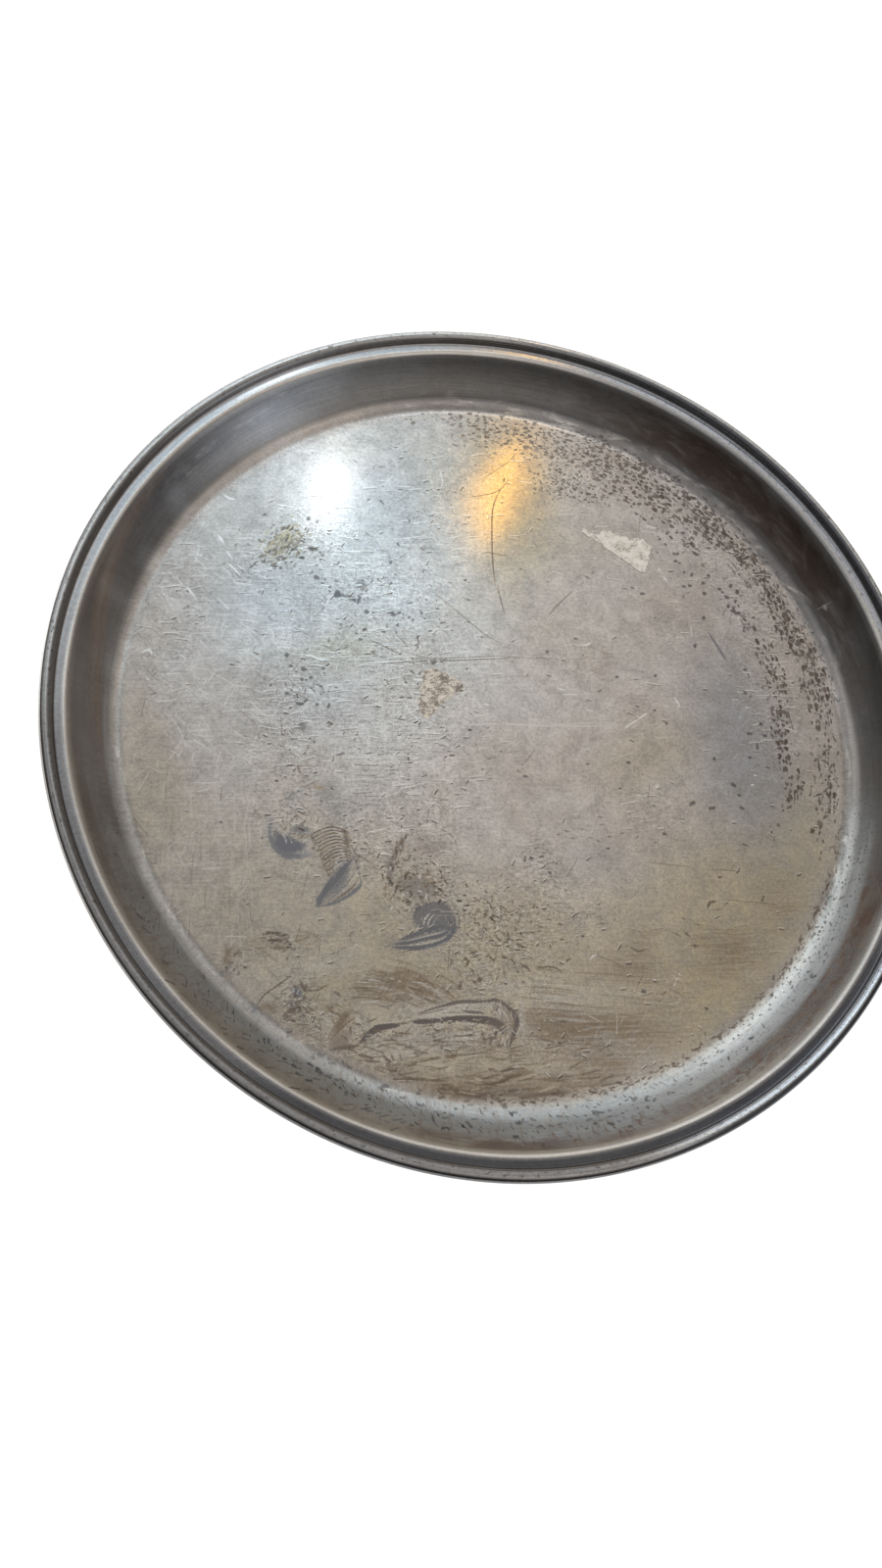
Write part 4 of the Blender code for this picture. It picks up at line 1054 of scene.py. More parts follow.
def nicks(m):
    """Short scratches and specks, crowded where the plate has been scuffed: crumbs with a painted highlight on one lip,
    and scratches with a painted shade line beside them.
    """
    rng = np.random.default_rng(11)
    x, y = rng.uniform(-126, 126, (2, 26000))
    much = cover(x, y, SCUFFED)
    keep = (rng.random(26000) < 0.018 + 0.26 * much) & (np.hypot(x, y) < 127)
    for cx, cy, v in zip(x[keep], y[keep], much[keep]):
        kind = rng.random()
        strong = 0.85 + 0.15 * v
        if kind < .46:
            # A thin light scratch, most of them with the wiping; half get a painted shade line along their near side.
            turn, long = rng.normal(6, 8), rng.uniform(.6, 3.0)
            high = cy > -38 + rng.normal(0, 8)
            m.dot(cx, cy, rng.uniform(.14, .22), BRIGHT if high and rng.random() < .7 else PALE, rng.uniform(.5, .9) * strong * (1 if high else .45), .13, 0, long, turn)
            if rng.random() < .5:
                m.dot(cx + .1, cy - rng.uniform(.34, .46), .16, UMBER, rng.uniform(.4, .7) * strong, .13, 0, long * .8, turn)
        elif kind < .86:
            # A dark crumb with a painted highlight on its far lip.
            turn = rng.normal(10, 40)
            size, long = rng.uniform(.17, .36), rng.uniform(.1, .9)
            m.dot(cx, cy, size, (.12, .092, .072), rng.uniform(.62, .95) * strong, .14, .2, long, turn)
            if rng.random() < .7:
                m.dot(cx - .15, cy + size + .22, .16, BRIGHT, rng.uniform(.5, .8) * strong, .13, 0, long + .15, turn)
        else:
            # A longer scratch across the wiping.
            turn = (-42, 58, -25, 84)[rng.integers(4)] + rng.normal(0, 6)
            m.dot(cx, cy, rng.uniform(.12, .18), (PALE, UMBER)[rng.integers(2)], rng.uniform(.4, .7) * strong, .13, 0, rng.uniform(1.2, 4.0), turn)
    # Pale upright streaks at the left, and slanting ones above them.
    for _ in range(90):
        cx, cy = rng.uniform(-112, -82), rng.uniform(-84, -30)
        m.dot(cx, cy, rng.uniform(.14, .24), PALE if rng.random() < .7 else SEPIA, rng.uniform(.2, .45), .2, 0, rng.uniform(1.5, 5.0), 92 + rng.normal(0, 5))
    for _ in range(110):
        cx, cy = rng.uniform(-118, -78), rng.uniform(-24, 62)
        if math.hypot(cx, cy) > 125:
            continue
        m.dot(cx, cy, rng.uniform(.12, .2), BRIGHT, rng.uniform(.3, .7), .14, 0, rng.uniform(.8, 3.6), (-52, -28, 5, 70)[rng.integers(4)] + rng.normal(0, 7))
    # A patch that has been rubbed both ways, like cloth.
    for _ in range(150):
        cx, cy = rng.uniform(-50, -26), rng.uniform(-30, 22)
        flat = rng.random() < .84
        tone = (BRIGHT, PALE, PALE, UMBER)[rng.integers(4)] if flat else PALE
        m.dot(cx, cy, rng.uniform(.12, .19), tone, rng.uniform(.35, .65), .13, 0, rng.uniform(1.5, 4.0), (5 if flat else 88) + rng.normal(0, 4))


def add_marks(mesh, first, corners):
    m = Marks()
    smears(m)
    ochre_patch(m)
    pits(m)
    rim_marks(m)
    pit_arcs(m)
    nicks(m)
    scratches(m)
    m.write(mesh, first, corners)


# ------------------------------------------------ where the tarnish lies, mm
# (x, y, half-length, half-width, turn in degrees, how strong)
TAN = (
    (-92, -60, 42, 30, 25, .42), (-40, -75, 36, 24, 0, .5), (10, -85, 60, 30, 0, .62), (80, -62, 40, 28, 30, .85),
    (105, -36, 18, 25, 0, .6), (70, -95, 28, 18, 35, .85), (60, -8, 32, 14, 20, .35), (-58, 22, 15, 8, 20, .4),
    (-118, -28, 12, 30, 10, .45), (30, 40, 30, 14, 0, .15), (-60, -98, 26, 14, -30, .5), (-8, -118, 34, 9, 0, .5),
    (-20, 100, 16, 22, 0, .25), (20, 75, 18, 18, 0, .2), (5, 94, 15, 34, 0, .95), (4, 86, 22, 36, 0, .3),
)
BROWN = (
    (-30, -93, 25, 8, 0, .55), (-62, -99, 12, 8, 0, .25), (22, -104, 26, 8, 0, .62), (40, -84, 16, 7, 0, .45),
    (46, -74, 9, 7, 0, .4), (78, -80, 20, 10, 20, .5), (70, -72, 14, 6, 0, .35), (98, -58, 15, 17, 0, .42),
    (-6, -125.4, 30, 3.6, 0, .65), (26, -118, 22, 7, 8, .5), (-80, -82, 14, 6, 0, .2), (-28, -59, 10, 6, 0, .42),
    (2, -75, 18, 13, 0, .32), (52, -102, 20, 14, 25, .4), (-57, -49, 8, 8, 0, .22), (68, -26, 9, 6, 0, .3),
    (35, 118, 30, 8, -18, .3), (95, 80, 22, 10, -45, .25), (85, -95, 16, 7, 40, .35),
)
BLUE = (
    (88, 0, 18, 38, 8, .9), (91, -16, 17, 25, 0, .4), (-48, 80, 24, 22, 40, .55), (-78, 42, 26, 15, 0, .35), (30, -47, 16, 7, 0, .3),
    (-70, 2, 20, 18, 0, .3), (98, -86, 16, 5, 40, .8), (78, -103, 16, 4, 33, .7), (112, -64, 5, 16, -25, .6), (-28, -70, 12, 10, 0, .12),
)
PITTED = (
    (40, 113, 26, 9, -15, 1.0), (88, 87, 27, 11, -45, 1.0), (114, 42, 8, 27, 8, 1.0), (104, 14, 7, 22, 0, .8),
    (8, 120, 22, 8, 0, .85), (-22, 124, 18, 4, 8, .4), (50, 119, 30, 5, -22, .9), (98, 82, 26, 5, -52, .9), (121, 38, 5, 30, 12, .9), (104, -12, 6, 12, 0, .7), (70, 76, 11, 11, 0, .22),
    (100, 56, 8, 16, 0, .4), (28, 100, 16, 7, -10, .6), (55, 100, 16, 8, -25, .55), (90, 40, 8, 14, 0, .2), (94, -25, 8, 14, 0, .3),
    (118, -20, 6, 22, -10, .3),
)
MOTTLED = (
    (-3, -76, 20, 16, 0, .9), (5, -64, 16, 8, 0, .7), (-27, -57, 10, 9, 0, .8), (30, -40, 24, 9, 0, .5), (14, -52, 16, 7, 0, .5),
    (-30, -28, 20, 12, 0, .35), (-48, -8, 16, 12, 0, .35), (62, -70, 12, 8, 0, .5), (-56, -46, 8, 8, 0, .5), (-62, -100, 14, 8, 0, .5),
    (-45, 60, 20, 20, 30, .55), (-60, 45, 14, 10, 0, .5), (0, 95, 16, 28, 0, .5), (20, 115, 30, 10, 0, .5), (-20, 110, 20, 14, 0, .35),
    (-12, -88, 10, 8, 0, .7), (-45, 30, 12, 10, 0, .3), (-78, 60, 12, 10, 45, .5), (95, 20, 14, 40, 0, .4), (80, 90, 25, 14, -45, .5), (-76, 63, 10, 6, 50, .5), (-24, -122, 18, 5, -6, .5),
)
HAIRY = (
    (-100, 40, 34, 36, 0, .9), (-85, 5, 36, 26, 0, .8), (-30, -5, 40, 18, 0, .7), (-40, 55, 30, 26, 0, .75), (15, 25, 50, 14, 0, .5),
    (-100, -50, 30, 36, 0, .7), (-20, 20, 30, 12, 0, .5), (20, -98, 34, 12, 0, .4), (30, -25, 40, 18, 0, .3), (-60, -20, 26, 14, 0, .6),
)

SCUFFED = (
    (-70, -2, 15, 42, 0, .85), (-32, 8, 20, 46, 0, .75), (-48, 45, 22, 18, 0, .95), (-70, 68, 14, 12, 0, .9), (-24, 88, 20, 20, 0, .4),
    (0, 88, 12, 24, 0, .22), (-50, -46, 20, 14, 0, .85), (-28, -60, 14, 18, 0, .9), (-4, -80, 19, 18, 0, 1.0), (11, -50, 9, 8, 0, .8),
    (15, -66, 13, 14, 0, .75), (-52, -108, 18, 8, -30, .85), (-10, -106, 24, 9, 0, .6), (102, 30, 12, 38, 0, .55), (92, 72, 20, 12, -45, .65),
    (-90, 50, 13, 12, 0, .6), (-113, 28, 8, 34, 0, .45), (-30, -30, 16, 12, 0, .7), (54, -28, 12, 8, 0, .35), (50, 8, 10, 6, 0, .4),
    (52, -90, 12, 7, 0, .4), (30, 28, 8, 8, 0, .3), (-70, -84, 16, 8, 0, .4), (30, -70, 12, 8, 0, .35), (-68, -100, 10, 7, -30, .6),
    (32, 108, 18, 8, -12, .5), (20, -112, 20, 6, 0, .3),
)


# Finger rubs: blue-grey, brown, and wiped pale.
SLATE_RUBS = (
    (-71.5, -48.8, 4.4, 2.6, -8, .85), (-75.6, -46.2, 2.4, 3.4, 25, .7), (-68, -43.9, 3.4, 1.3, -5, .65), (-77.8, -42.5, 1.1, 2.8, 0, .55),
    (-69.5, -51.4, 5.5, 1.2, -4, .6), (-55.8, -58.6, 7.2, 1.8, 54, .85), (-60.6, -66.6, 1.6, 1.9, 0, .65), (-53.6, -54, 1.8, 2.4, 60, .55),
    (-54.8, -65.4, 5.2, .9, 27, .5), (-58, -33, 6.4, 8.0, 20, .26), (-60.5, -29.5, 3, 2.4, 0, .3), (-71.5, -33, 2.6, 2.0, 40, .4),
    (-38.2, -54.5, 1.3, 5.0, 10, .55), (-26, -77.6, 9, 2.0, 12, .5), (-20.2, -75.2, 3.4, 2.6, 40, .65), (-35, -79.6, 4, 1.0, 5, .5),
    (-66.6, -95.6, 2.2, 2.6, -30, .6), (-67.8, -100.4, 1.4, 2.4, 10, .5), (-24.3, -69.9, 5.6, 5.6, 0, .4), (-46, -32, 7, 6, 0, .15),
    (-80, -102, 3, 2, 0, .3), (-1.5, -125.5, 12, 1.6, 3, .3),
)
UMBER_RUBS = (
    (-76.5, 63, 8, 4, 52, .3), (-58.4, -46.5, 5.0, 5.4, 0, .5), (-58.6, -54.5, 2.4, 4.6, 15, .5), (-54, -48, 2.6, 4, 0, .4), (-30, -59.6, 8, 4.2, 0, .5),
    (-27, -47.5, 8, 3.6, 0, .3), (-24.5, -57, 4, 4, 0, .3), (-35, -50, 3, 4, 0, .3), (-72.6, -80, 5.6, 2.4, 0, .5), (-65, -79.5, 5, 2.4, 10, .35),
    (-80, -82, 5, 2.6, -20, .3), (-88, -86, 2.2, 4.4, -20, .5), (-33, -92, 6, 3.4, -8, .6), (-26, -95, 4, 1.8, -30, .5), (-42, -94, 7, 3, 0, .4),
    (-38, -98, 6, 1.6, 0, .4), (-52, -104, 2.4, 4.6, -35, .6), (-57, -101, 3.2, 2.0, 0, .5), (-63.5, -98, 1.6, 2, 0, .4), (-54, -111.6, 4, 1.6, 0, .6),
    (-46, -110, 5, 1.6, 25, .55), (-20, -106, 7, 1.6, 5, .4), (-5, -107.5, 3, 3.4, 0, .6), (1, -102, 2, 5, 10, .5), (-20, -123, 12, 2.6, -8, .6),
    (-12, -126, 6, 2, 0, .65), (-3, -119.6, 9, 2, 5, .5), (-12.5, -118.6, 3, 2.4, 0, .5), (-22, -114.6, 10, 1.4, 8, .45), (-37.5, -117, 2, 2.6, -40, .5),
    (14, -101, 12, 3, 0, .5), (20, -106, 14, 2.4, 3, .5), (26, -112, 12, 3, 4, .45), (36, -103, 9, 2, 0, .35), (8, -86, 6, 2, 0, .3), (42, -86, 8, 2.4, 0, .35),
    (14, -122.5, 14, 2.4, 6, .5), (34, -118, 8, 3, 25, .45), (-34, -119.5, 14, 3, -10, .55), (-52, -113, 8, 3, -32, .5), (-8, -123.5, 22, 3, 0, .6),
    (-66, -106, 9, 3, -40, .5), (-2, -113, 14, 3, 3, .45), (26, -122, 14, 2.4, 12, .45),
)
PALE_RUBS = (
    (-14, -98.9, 14, .9, 3, .75), (-22, -101.6, 9, .7, 5, .6), (4.6, -103, 1.0, 6, 0, .75), (-44, -109.4, 4, .8, 25, .5), (-20, -108.8, 11, 1.6, 4, .6),
    (-28, -113.4, 10, 1.0, 6, .5), (-55.8, -63.4, 5.4, .8, 30, .6), (-52.6, -40.6, 3.4, 2.6, 0, .6), (-64.2, -48, 1.6, 3, 0, .35), (-70, -38, 3, 2.4, 0, .35),
    (-83.6, -36.6, 1.2, 3.4, 0, .4), (-45, -20, 10, 9, 0, .35), (-30, -34, 12, 6, 0, .3), (-60, -88, 14, 3, 20, .3), (16, -95.8, 10, 1.0, 0, .4),
    (18, -99.2, 10, .8, 0, .35), (-36, -123.6, 8, 1.2, -10, .4), (-42, -14, 14, 12, 0, .3), (30, -93, 16, 1, 0, .3), (0, -92.5, 6, 1.6, 0, .35),
    (-42, 62, 12, 26, 30, .3), (-88, -52, 18, 16, 0, .22),
)


def cover(x, y, places):
    """How much of a point the soft-edged places cover, 0 to 1."""
    left = np.ones_like(x)
    for cx, cy, rx, ry, turn, value in places:
        a = math.radians(turn)
        u = ((x - cx) * math.cos(a) + (y - cy) * math.sin(a)) / rx
        v = ((y - cy) * math.cos(a) - (x - cx) * math.sin(a)) / ry
        left = left * (1 - value * np.exp(-((u * u + v * v) ** 1.25)))
    return 1 - left


def ease(x, a, b):
    t = np.clip((x - a) / (b - a), 0, 1)
    return t * t * (3 - 2 * t)


def between(x, a, b, soft):
    return ease(x, a - soft, a + soft) * (1 - ease(x, b - soft, b + soft))


def sector(angle, middle, half, soft):
    """1 within half of the middle angle, in degrees, easing off over soft."""
    off = np.abs((angle - middle + 180) % 360 - 180)
    return 1 - ease(off, half - soft, half + soft)


def rim_film_and_reflections(s, angle):
    """What lies on the ledge and the bead: its colour and how much it covers, with painted reflections and painted
    shade on both.
    """
    near_left, near = sector(angle, 250, 62, 25), sector(angle, 265, 28, 8)
    far, gleam = sector(angle, 100, 82, 12), sector(angle, 312, 22, 9)
    colour, left = np.zeros((*s.shape, 3)), np.ones_like(s)

    def lay(amount, tone):
        nonlocal colour, left
        colour = colour * (1 - amount[..., None]) + np.asarray(tone) * amount[..., None]
        left = left * (1 - amount)

    # A lilac film on the ledge; on the near side painted shade darkens it, the dark that the ledge mirrors there.
    ledge = ease(s, 151.6, 152.6) * (1 - ease(s, 154.6, 155.2))
    lay(ledge * 0.6, (0.38, 0.375, 0.395))
    lay(ledge * near_left * 0.75, (0.17, 0.175, 0.19))
    lay(ledge * near * 0.7, (0.06, 0.065, 0.075))
    lay(ledge * sector(angle, 95, 20, 12) * 0.35, (0.24, 0.235, 0.245))
    right = sector(angle, 44, 36, 14)
    # Painted reflection at the far right: the ledge pale and bluish where it mirrors bright surroundings; the crest
    # below it grey-blue.
    lay(between(s, 152.6, 154.8, 0.5) * right * 0.8, (0.60, 0.65, 0.73))
    lay(between(s, 150.4, 152.2, 0.5) * right * 0.55, (0.27, 0.29, 0.33))
    # Painted shade: the ledge nearly black at the near right.
    lay(ledge * gleam * 0.85, (0.055, 0.062, 0.08))
    inner = ease(s, 155.2, 156.0) * (1 - ease(s, 157.0, 158.0))
    lay(inner * (0.45 - 0.15 * far) * (1 - gleam), (0.30, 0.30, 0.31))
    # The bead's top: a painted blue-white reflection at the near right, and a painted dark reflection on the far side.
    top = ease(s + gleam * 1.7, 157.2, 158.2) * (1 - ease(s, 159.4, 160.4))
    tone = np.array((0.30, 0.30, 0.305)) * (1 - gleam[..., None]) + np.array((0.86, 0.90, 0.95)) * gleam[..., None]
    tone = tone * (1 - far[..., None]) + np.array((0.16, 0.17, 0.185)) * far[..., None]
    lay(top * (0.85 - 0.2 * far), tone)
    # Painted shade: a dark band along the bead's outer edge on the near side.
    lay(ease(s + gleam * 0.9, 159.6, 160.4) * (gleam * 0.12 + 0.85) * (1 - far) * (1 - 0.4 * sector(angle, 196, 24, 14)), (0.09, 0.09, 0.095))
    # Painted reflection: the far bead's outer edge near-white, where it mirrors the pale floor.
    lay(ease(s, 158.2, 159.6) * far * 0.9, (0.93, 0.92, 0.90))
    # Painted shade: the bead dark blue at the far right, the dark it mirrors there.
    lay(ease(s, 155.0, 155.8) * (1 - ease(s, 158.4, 159.4)) * right * 0.62, (0.085, 0.095, 0.125))
    # Darker in the corner under the bead, except on the far side and less at the near right.
    lay(between(s, 154.0, 155.6, 0.5) * (0.48 - gleam * 0.46) * (1 - far), (0.070, 0.067, 0.067))
    covered = 1 - left
    colour = np.where(covered[..., None] > 0.01, colour / np.maximum(covered, 0.01)[..., None], 0.4)
    # Worn along the crest, a little lower down on the near side; its pale colour is partly a painted highlight of the
    # crest, shifted to where the crest catches the light and weaker on the far side.
    shifted = s + (1 - far) * 1.15 + gleam * 0.2
    worn_and_highlit = ease(shifted, 149.4, 150.3) * (1 - ease(shifted, 152.3, 153.1)) * (0.98 - 0.70 * far - 0.14 * right)
    return colour, covered, worn_and_highlit, np.maximum(top, ledge * right * 0.75)


def add_layers(mesh, rows, along, up):
    """Writes where each kind of tarnish and wear, and of painted reflection and shade, lies on the upper side."""
    count = len(mesh.vertices)
    x, y = rows[..., 0], rows[..., 1]
    s = np.repeat(along[:, None], x.shape[1], 1)
    angle = np.degrees(np.arctan2(y, x)) % 360
    on_floor = 1 - ease(s, 128, 134)
    r = np.hypot(x, y)

    tan = cover(x, y, TAN) * on_floor
    brown = cover(x, y, BROWN) * on_floor
    blue = cover(x, y, BLUE) * on_floor
    pitted = cover(x, y, PITTED) * (1 - ease(s, 127.5, 130.5))
    # On the right the pits run in two strings round the tray, with gaps.
    turned = np.radians(angle)
    strings = np.maximum(between(s + 1.2 * np.sin(turned * 17), 118.5, 127.6, 1.2), 0.85 * between(s + 1.5 * np.sin(turned * 13 + 1), 103.5, 110.5, 1.2))
    strings = strings * (0.78 + 0.30 * np.sin(turned * 31 + s * 0.35))
    pitted = pitted * (1 - sector(angle, 14, 34, 7) * (0.92 - np.clip(strings * 1.4, 0, 0.92)))
    mottled = cover(x, y, MOTTLED) * on_floor
    hairy = 0.25 + 0.75 * cover(x, y, HAIRY)

    # Bare plate, scoured bright, low on the near right side of the cove.
    bright = between(s, 128.5, 139.5, 1.3) * sector(angle, 318, 30, 9)
    bright = np.maximum(bright, 0.55 * between(s, 128, 136, 2) * sector(angle, 285, 16, 9))
    grit = np.random.default_rng(5).random(s.shape)
    grit = sum(np.roll(grit, k, 1) for k in range(-3, 4)) / 7
    bright = bright * np.clip(0.9 + (grit - 0.5) * 2.6, 0.35, 1)
    # Brown bloom on the wall: high up at the near right, everywhere at the right.
    bloom = 0.75 * between(s, 134, 150, 3) * sector(angle, 45, 32, 24)
    rust = between(s, 139.0, 149.2, 1.0) * sector(angle, 305, 34, 10)
    # Dull grey tarnish in the far side of the cove, and dark patches at the foot of the cove and high on the far left
    # wall that are partly painted shade; plate wiped clean on the near wall, painted pale and bluish, partly as a
    # painted sheen.
    dull_and_shade = between(s, 128.9, 136.5, 1.1) * sector(angle, 62, 50, 14)
    dull_and_shade = np.maximum(dull_and_shade, between(s, 127.8, 131.4, 0.9) * (sector(angle, 160, 26, 12) * .3 + sector(angle, 220, 36, 10) * .72 + sector(angle, 350, 20, 8) * .85))
    dull_and_shade = np.maximum(dull_and_shade, between(s, 141, 150, 2) * sector(angle, 136, 16, 6) * .75)
    clean_and_sheen = between(s, 130.0, 149.0, 1.5) * (1.25 - 0.75 * ease(s, 138, 149)) * sector(angle, 247, 50, 14)
    clean_and_sheen = clean_and_sheen * (1 - 0.6 * (1 - ease(s, 131.5, 134.5)) * sector(angle, 215, 32, 10))
    rubbed_wall = between(s, 133.0, 149.5, 1.0) * np.maximum(sector(angle, 204, 9, 4) * 0.5, sector(angle, 266, 9, 4) * ease(s, 141, 145))

    # Where the bare plate of the bead and wall catches more light, at the near
    # right; hazy breath-like patches, mostly on the far left wall, painted near-white partly as reflected light; a
    # painted glint line along the fillet, where the lamps reflect.
    gleam = sector(angle, 312, 22, 9)
    haze_and_sheen = np.zeros_like(s)
    for a0, wide, low, high, value in ((129, 9, 131, 147, .5), (148, 3, 131.5, 143, .8), (158, 3, 131, 138, .9), (166, 3, 133, 147, .7), (176, 4, 131, 137, .5),
                                       (208, 46, 131, 144, .3), (312, 38, 133, 139.5, .8)):
        haze_and_sheen = np.maximum(haze_and_sheen, value * sector(angle, a0, wide * .5, wide * .6) * between(s, low, high, 1.8))
    fillet_glint = between(s, 127.9, 128.9, .7) * sector(angle, 88, 20, 8) * 0.7

    def put(name, *channels):
        data = np.zeros((count, 3))
        for i, c in enumerate(channels):
            c = c.copy()
            c[up:] = 0
            data[: c.size, i] = c.ravel()
        # The point at the middle of the floor.
        data[rows.shape[0] * rows.shape[1]] = data[: SEGMENTS].mean(0)
        layer = mesh.attributes.new(name, "FLOAT_VECTOR", "POINT")
        layer.data.foreach_set("vector", data.astype(np.float32).ravel())

    put("film", tan, brown, blue)
    put("wear", pitted, bright, bloom)
    put("lay", s, hairy, mottled)
    film, covered, worn_and_highlit, top = rim_film_and_reflections(s, angle)
    put("rim_film_and_reflections", film[..., 0], film[..., 1], film[..., 2])
    put("rim_wear_and_highlight", covered, worn_and_highlit, top)
    put("shade", dull_and_shade, clean_and_sheen, rubbed_wall)
    put("shine", rust * (1 - gleam * 0.5), np.maximum(haze_and_sheen * .8, fillet_glint), cover(x, y, SCUFFED) * on_floor)
    # Where the shine is satin rather than clear.
    satin = 0.24 * bright + 0.15 * clean_and_sheen + 0.24 * worn_and_highlit + 0.10 * between(s, 128.8, 136, 1.2) * sector(angle, 262, 26, 14)
    satin = satin + 0.12 * between(s, 126.8, 132, 1.7) * sector(angle, 130, 44, 15)
    put("edge", cover(x, y, ((-38, 58, 20, 22, 20, 1.0), (-62, 66, 12, 16, 0, .5))) * on_floor, on_floor, satin)
    put("rub", cover(x, y, SLATE_RUBS) * on_floor, cover(x, y, UMBER_RUBS) * on_floor, cover(x, y, PALE_RUBS) * on_floor)


# -------------------------------------------------------- the tray's finish
SILVER = (0.640, 0.605, 0.578)
FILM_TAN = (0.520, 0.455, 0.325)
FILM_BROWN = (0.270, 0.205, 0.140)
FILM_BLUE = (0.400, 0.405, 0.425)


def upper_finish():
    """Worn silver plate: films of tarnish, pits, rubs, hairlines, rim wear, and painted reflections, highlights and
    shade on the walls, rim and small scratches.
    """
    mat, g, shader = new_material("worn_plate")
    coords = Sock(g, g.node("ShaderNodeTexCoord").outputs["Object"])
    p = g.vec("SCALE", coords, scale=1000.0)
    x, y, z = g.split(p)
    flat = g.join(x, y)
    tan, brown, blue = g.split(g.attribute("film"))
    pitted, bright, bloom = g.split(g.attribute("wear"))
    along, hairy, mottled = g.split(g.attribute("lay"))
    emboss, floor, satin = g.split(g.attribute("edge"))
    slate, umber, wiped = g.split(g.attribute("rub"))
    rim = g.attribute("rim_film_and_reflections")
    rimmed, worn_and_highlit, bead_top = g.split(g.attribute("rim_wear_and_highlight"))
    dull_and_shade, clean_and_sheen, sooty = g.split(g.attribute("shade"))
    rust, haze_and_glint, scuffed = g.split(g.attribute("shine"))

    broad = g.noise(flat, 0.030, 3.0, 0.55)
    mid = g.noise(flat, 0.14, 4.0, 0.70, 0.6)
    fine = g.noise(flat, 0.85, 3.0, 0.6, 0.3)
    grain = g.noise(flat, 2.7, 1.5, 0.55)
    edge = (g.noise(flat, 1.7, 2.0, 0.6) - 0.5) * 2.0
    turn = g.math("ARCTAN2", y, x)
    lathe = g.noise(g.join(along * 2.2, turn * 5.0), 1.0, 2.0, 0.6)
    wipe = g.noise(g.turned((x, y, z), 4, (0.06, 1.1)), 1.0, 3.0, 0.65, 0.4)
    sweep = g.noise(g.turned((x, y, z), 62, (0.07, 0.9)), 1.0, 3.0, 0.65, 0.5)

    # Films of tarnish, thin and streaky, over the plate.
    colour = g.mix(g.step(broad, 0.35, 0.65), SILVER, (0.585, 0.535, 0.490))
    tan_in = g.clamp(tan * (mid * 1.5 + 0.25))
    colour = g.mix(tan_in, colour, FILM_TAN)
    blue_in = g.clamp(blue * (mid * 1.1 + 0.4))
    colour = g.mix(blue_in, colour, FILM_BLUE)
    streaks = g.blend(g.step(x + y * 0.3, -70.0, -30.0), sweep, wipe)
    brown_in = g.clamp(g.step(mid * 0.45 + streaks * 0.55 + brown * 0.42, 0.56, 0.86) * (brown * 1.5))
    colour = g.mix(brown_in, colour, FILM_BROWN)
    colour = g.mix(wiped * (mid * 1.2 + 0.3), colour, (0.66, 0.635, 0.60))
    colour = g.mix(umber * (streaks * 1.3 + 0.25), colour, (0.315, 0.245, 0.180))
    colour = g.mix(slate * (mid * 0.9 + 0.5), colour, (0.245, 0.248, 0.268))
    specks = g.step(g.noise(flat, 0.62, 5.0, 0.72, 0.8), 0.555, 0.66) * mottled
    colour = g.mix(specks * 0.62, colour, (0.235, 0.185, 0.135))
    flecks = g.step(g.noise(flat, 1.25, 3.0, 0.7, 0.4), 0.60, 0.70) * g.clamp(mottled * 0.7 + 0.10)
    colour = g.mix(flecks * 0.45, colour, PALE)

    # Short bright and dark dashes side by side, mostly along the wiping and
    # crowded into patches: painted highlight and shade of fine relief.
    crowd = g.step(g.noise(g.join(x - 5.0, y + 9.0), 0.05, 3.0, 0.6, 0.6), 0.40, 0.62) * 0.75 + 0.25
    nap = g.noise(g.turned((x, y, z), 6, (0.36, 1.75)), 1.0, 3.0, 0.64, 0.35)
    burr = g.noise(g.turned((x + 40.0, y - 12.0, z), -42, (0.50, 1.55)), 1.0, 3.0, 0.64, 0.5)
    share = (scuffed * 0.85 + 0.12) * crowd
    colour = g.mix(g.max(g.step(nap, 0.565, 0.66), g.step(burr, 0.59, 0.68) * 0.7) * (share * (0.85 - tan_in * 0.5) + 0.05), colour, (0.88, 0.86, 0.83))
    colour = g.mix(g.max(g.step(nap, 0.445, 0.35), g.step(burr, 0.42, 0.33) * 0.7) * (share * 0.70 + 0.12), colour, (0.25, 0.222, 0.195))

    # The wall, ledge and bead.
    cloud = g.noise(g.join(along * 0.22, turn * 9.0), 1.0, 4.0, 0.65, 0.6)
    bloom_in = g.clamp(g.step(cloud + bloom * 0.5, 0.40, 0.95) * bloom * 1.25)
    colour = g.mix(bloom_in, colour, (0.170, 0.112, 0.085))
    rust_edge = g.noise(g.join(along * 0.5, turn * 36.0), 1.0, 4.0, 0.7, 0.5)
    rust_in = g.step(rust + (rust_edge - 0.5) * 1.1, 0.42, 0.58)
    rusty = g.mix(g.step(cloud, 0.42, 0.62), (0.50, 0.40, 0.335), (0.38, 0.26, 0.20))
    colour = g.mix(rust_in * 0.95, colour, rusty)
    colour = g.mix(g.clamp(bright * 1.05), colour, (0.97, 0.97, 0.92))
    chips, chip_cell = g.cells(g.join(along * 0.92, turn * 78.0), 1.0)
    chip_random = g.split_colour(chip_cell)
    chip = g.step(chips, chip_random[0] * 0.42, chip_random[0] * 0.30 - 0.02) * g.step(chip_random[1], 0.22, 0.28)
    colour = g.mix(chip * bright * 0.85, colour, (0.17, 0.17, 0.18))

    # Dull tarnish in the cove, partly painted shade.
    colour = g.mix(dull_and_shade * g.step(cloud, 0.30, 0.50) * 0.75, colour, (0.215, 0.205, 0.205))
